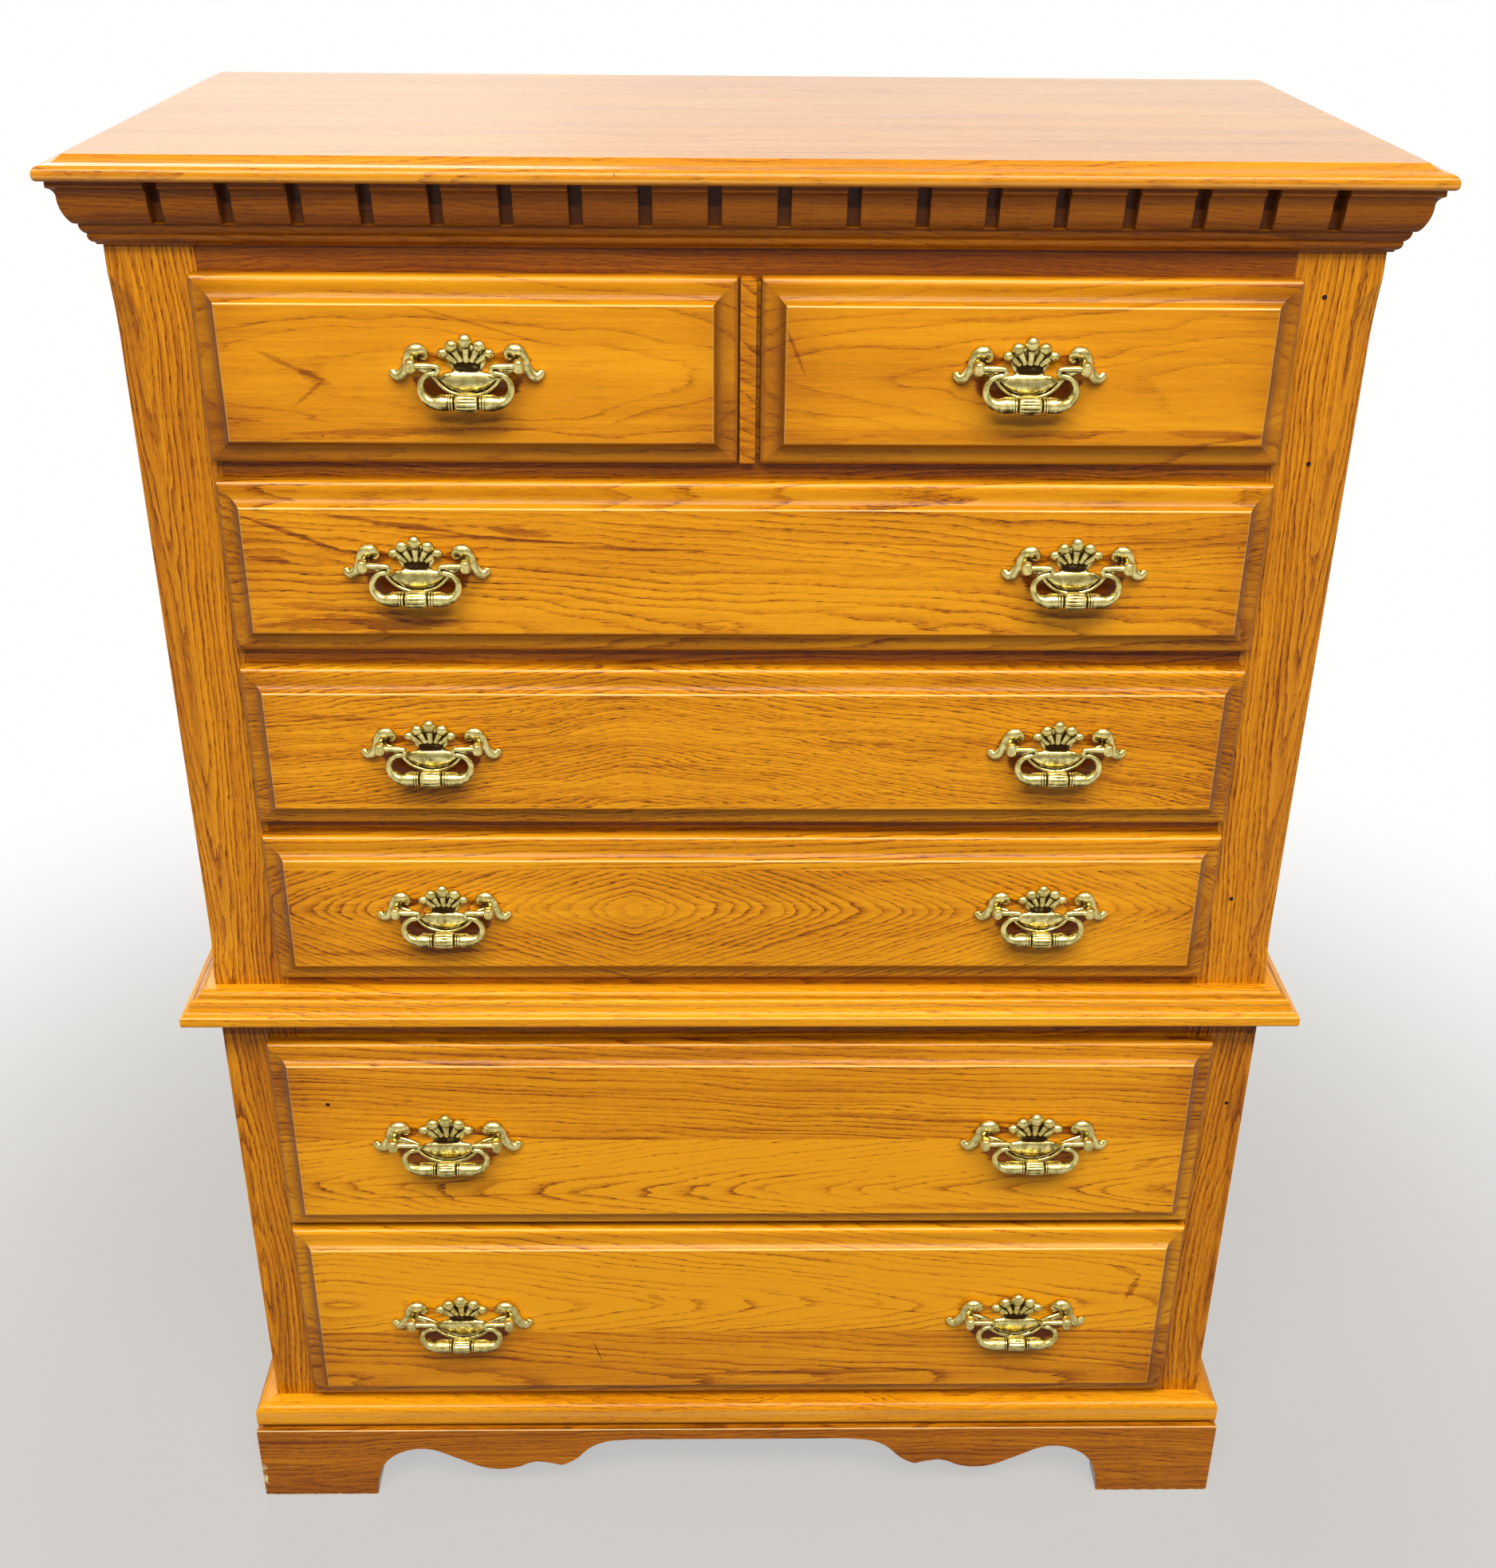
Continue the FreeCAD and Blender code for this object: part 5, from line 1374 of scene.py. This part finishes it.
def studio_floor():
    """Pale floor that fades to white away from the chest and keeps its shadow."""
    data = bpy.data.meshes.new("floor")
    data.from_pydata([(-FAR, -FAR, 0), (FAR, -FAR, 0), (FAR, FAR, 0), (-FAR, FAR, 0)], [], [(0, 1, 2, 3)])
    floor = linked("floor", data)
    material, g = new_material("floor")
    where = g.node("ShaderNodeNewGeometry").outputs["Position"]
    away = g.node("ShaderNodeVectorMath", {0: where}, operation="LENGTH").outputs["Value"]
    seen = g.node("ShaderNodeLightPath").outputs
    fade = g.fit(g.step_up(away, 0.6, 1.7), 0.5, 0.5)
    share = g.times(fade, g.calc("MAXIMUM", seen["Is Camera Ray"], seen["Is Glossy Ray"]))
    plain = g.node("ShaderNodeBsdfPrincipled", {"Base Color": (0.19, 0.17, 0.15, 1.0), "Roughness": 0.7,
                                                "Specular IOR Level": 0.1})
    white = g.node("ShaderNodeEmission", {"Color": (1.0, 0.995, 0.985, 1.0), "Strength": 1.0})
    both = g.node("ShaderNodeMixShader", {0: share, 1: plain.outputs[0], 2: white.outputs[0]})
    g.node("ShaderNodeOutputMaterial", {"Surface": both.outputs[0]})
    data.materials.append(material)


def studio_world():
    """White backdrop behind; shiny parts see a dimmer room in front, matt ones a weak even light."""
    world = bpy.data.worlds.new("world")
    bpy.context.scene.world = world
    world.use_nodes = True
    g = Graph(world.node_tree)
    seen = g.node("ShaderNodeLightPath").outputs
    axes = g.parts(g.node("ShaderNodeTexCoord").outputs["Generated"])
    room = g.calc("MAXIMUM", g.step_up(axes[1], -0.5, 0.3), g.step_up(axes[2], -0.05, 0.45))
    room = g.fit(room, 0.80, 0.20)
    glossy = g.times(seen["Is Glossy Ray"], room)
    matt = g.times(g.take(1.0, seen["Is Glossy Ray"]), 0.07)
    strength = g.calc("MAXIMUM", seen["Is Camera Ray"], g.add(glossy, matt))
    colour = g.blend(seen["Is Glossy Ray"], (1.0, 0.99, 0.975), (1.0, 0.95, 0.85))
    back = g.node("ShaderNodeBackground", {"Color": colour, "Strength": strength})
    g.node("ShaderNodeOutputWorld", {"Surface": back.outputs[0]})


# ---- build ----
finish_boards()
stiles()
top_slab()
crown()
mouldings()
brackets()
divider()
drawers()
pulls(aged_brass())
dress_cad(["upper_back", "lower_back", "upper_dust_boards", "upper_floor_board", "upper_guides",
           "lower_boards", "lower_guides", "corner_blocks"], plain_wood("bare_board", *BOARD_TONES))
dress_cad([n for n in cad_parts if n.endswith("_box")],
          plain_wood("drawer_side", *BOX_TONES, "y", 0.42))
camera()
studio_floor()
studio_world()
lamp("key", (0.5, -6.5, 11.0), (0.0, -0.2, 0.7), (12.8, 3.1), 2000.0)
lamp("strip", (0.0, -3.4, 3.7), (0.0, -0.2, 0.8), (3.0, 0.12), 68.0)
lamp("behind", (-2.5, 6.5, 5.0), (0.0, 0.0, 0.6), (4.0, 3.0), 230.0)
bpy.context.scene.view_settings.view_transform = "Standard"
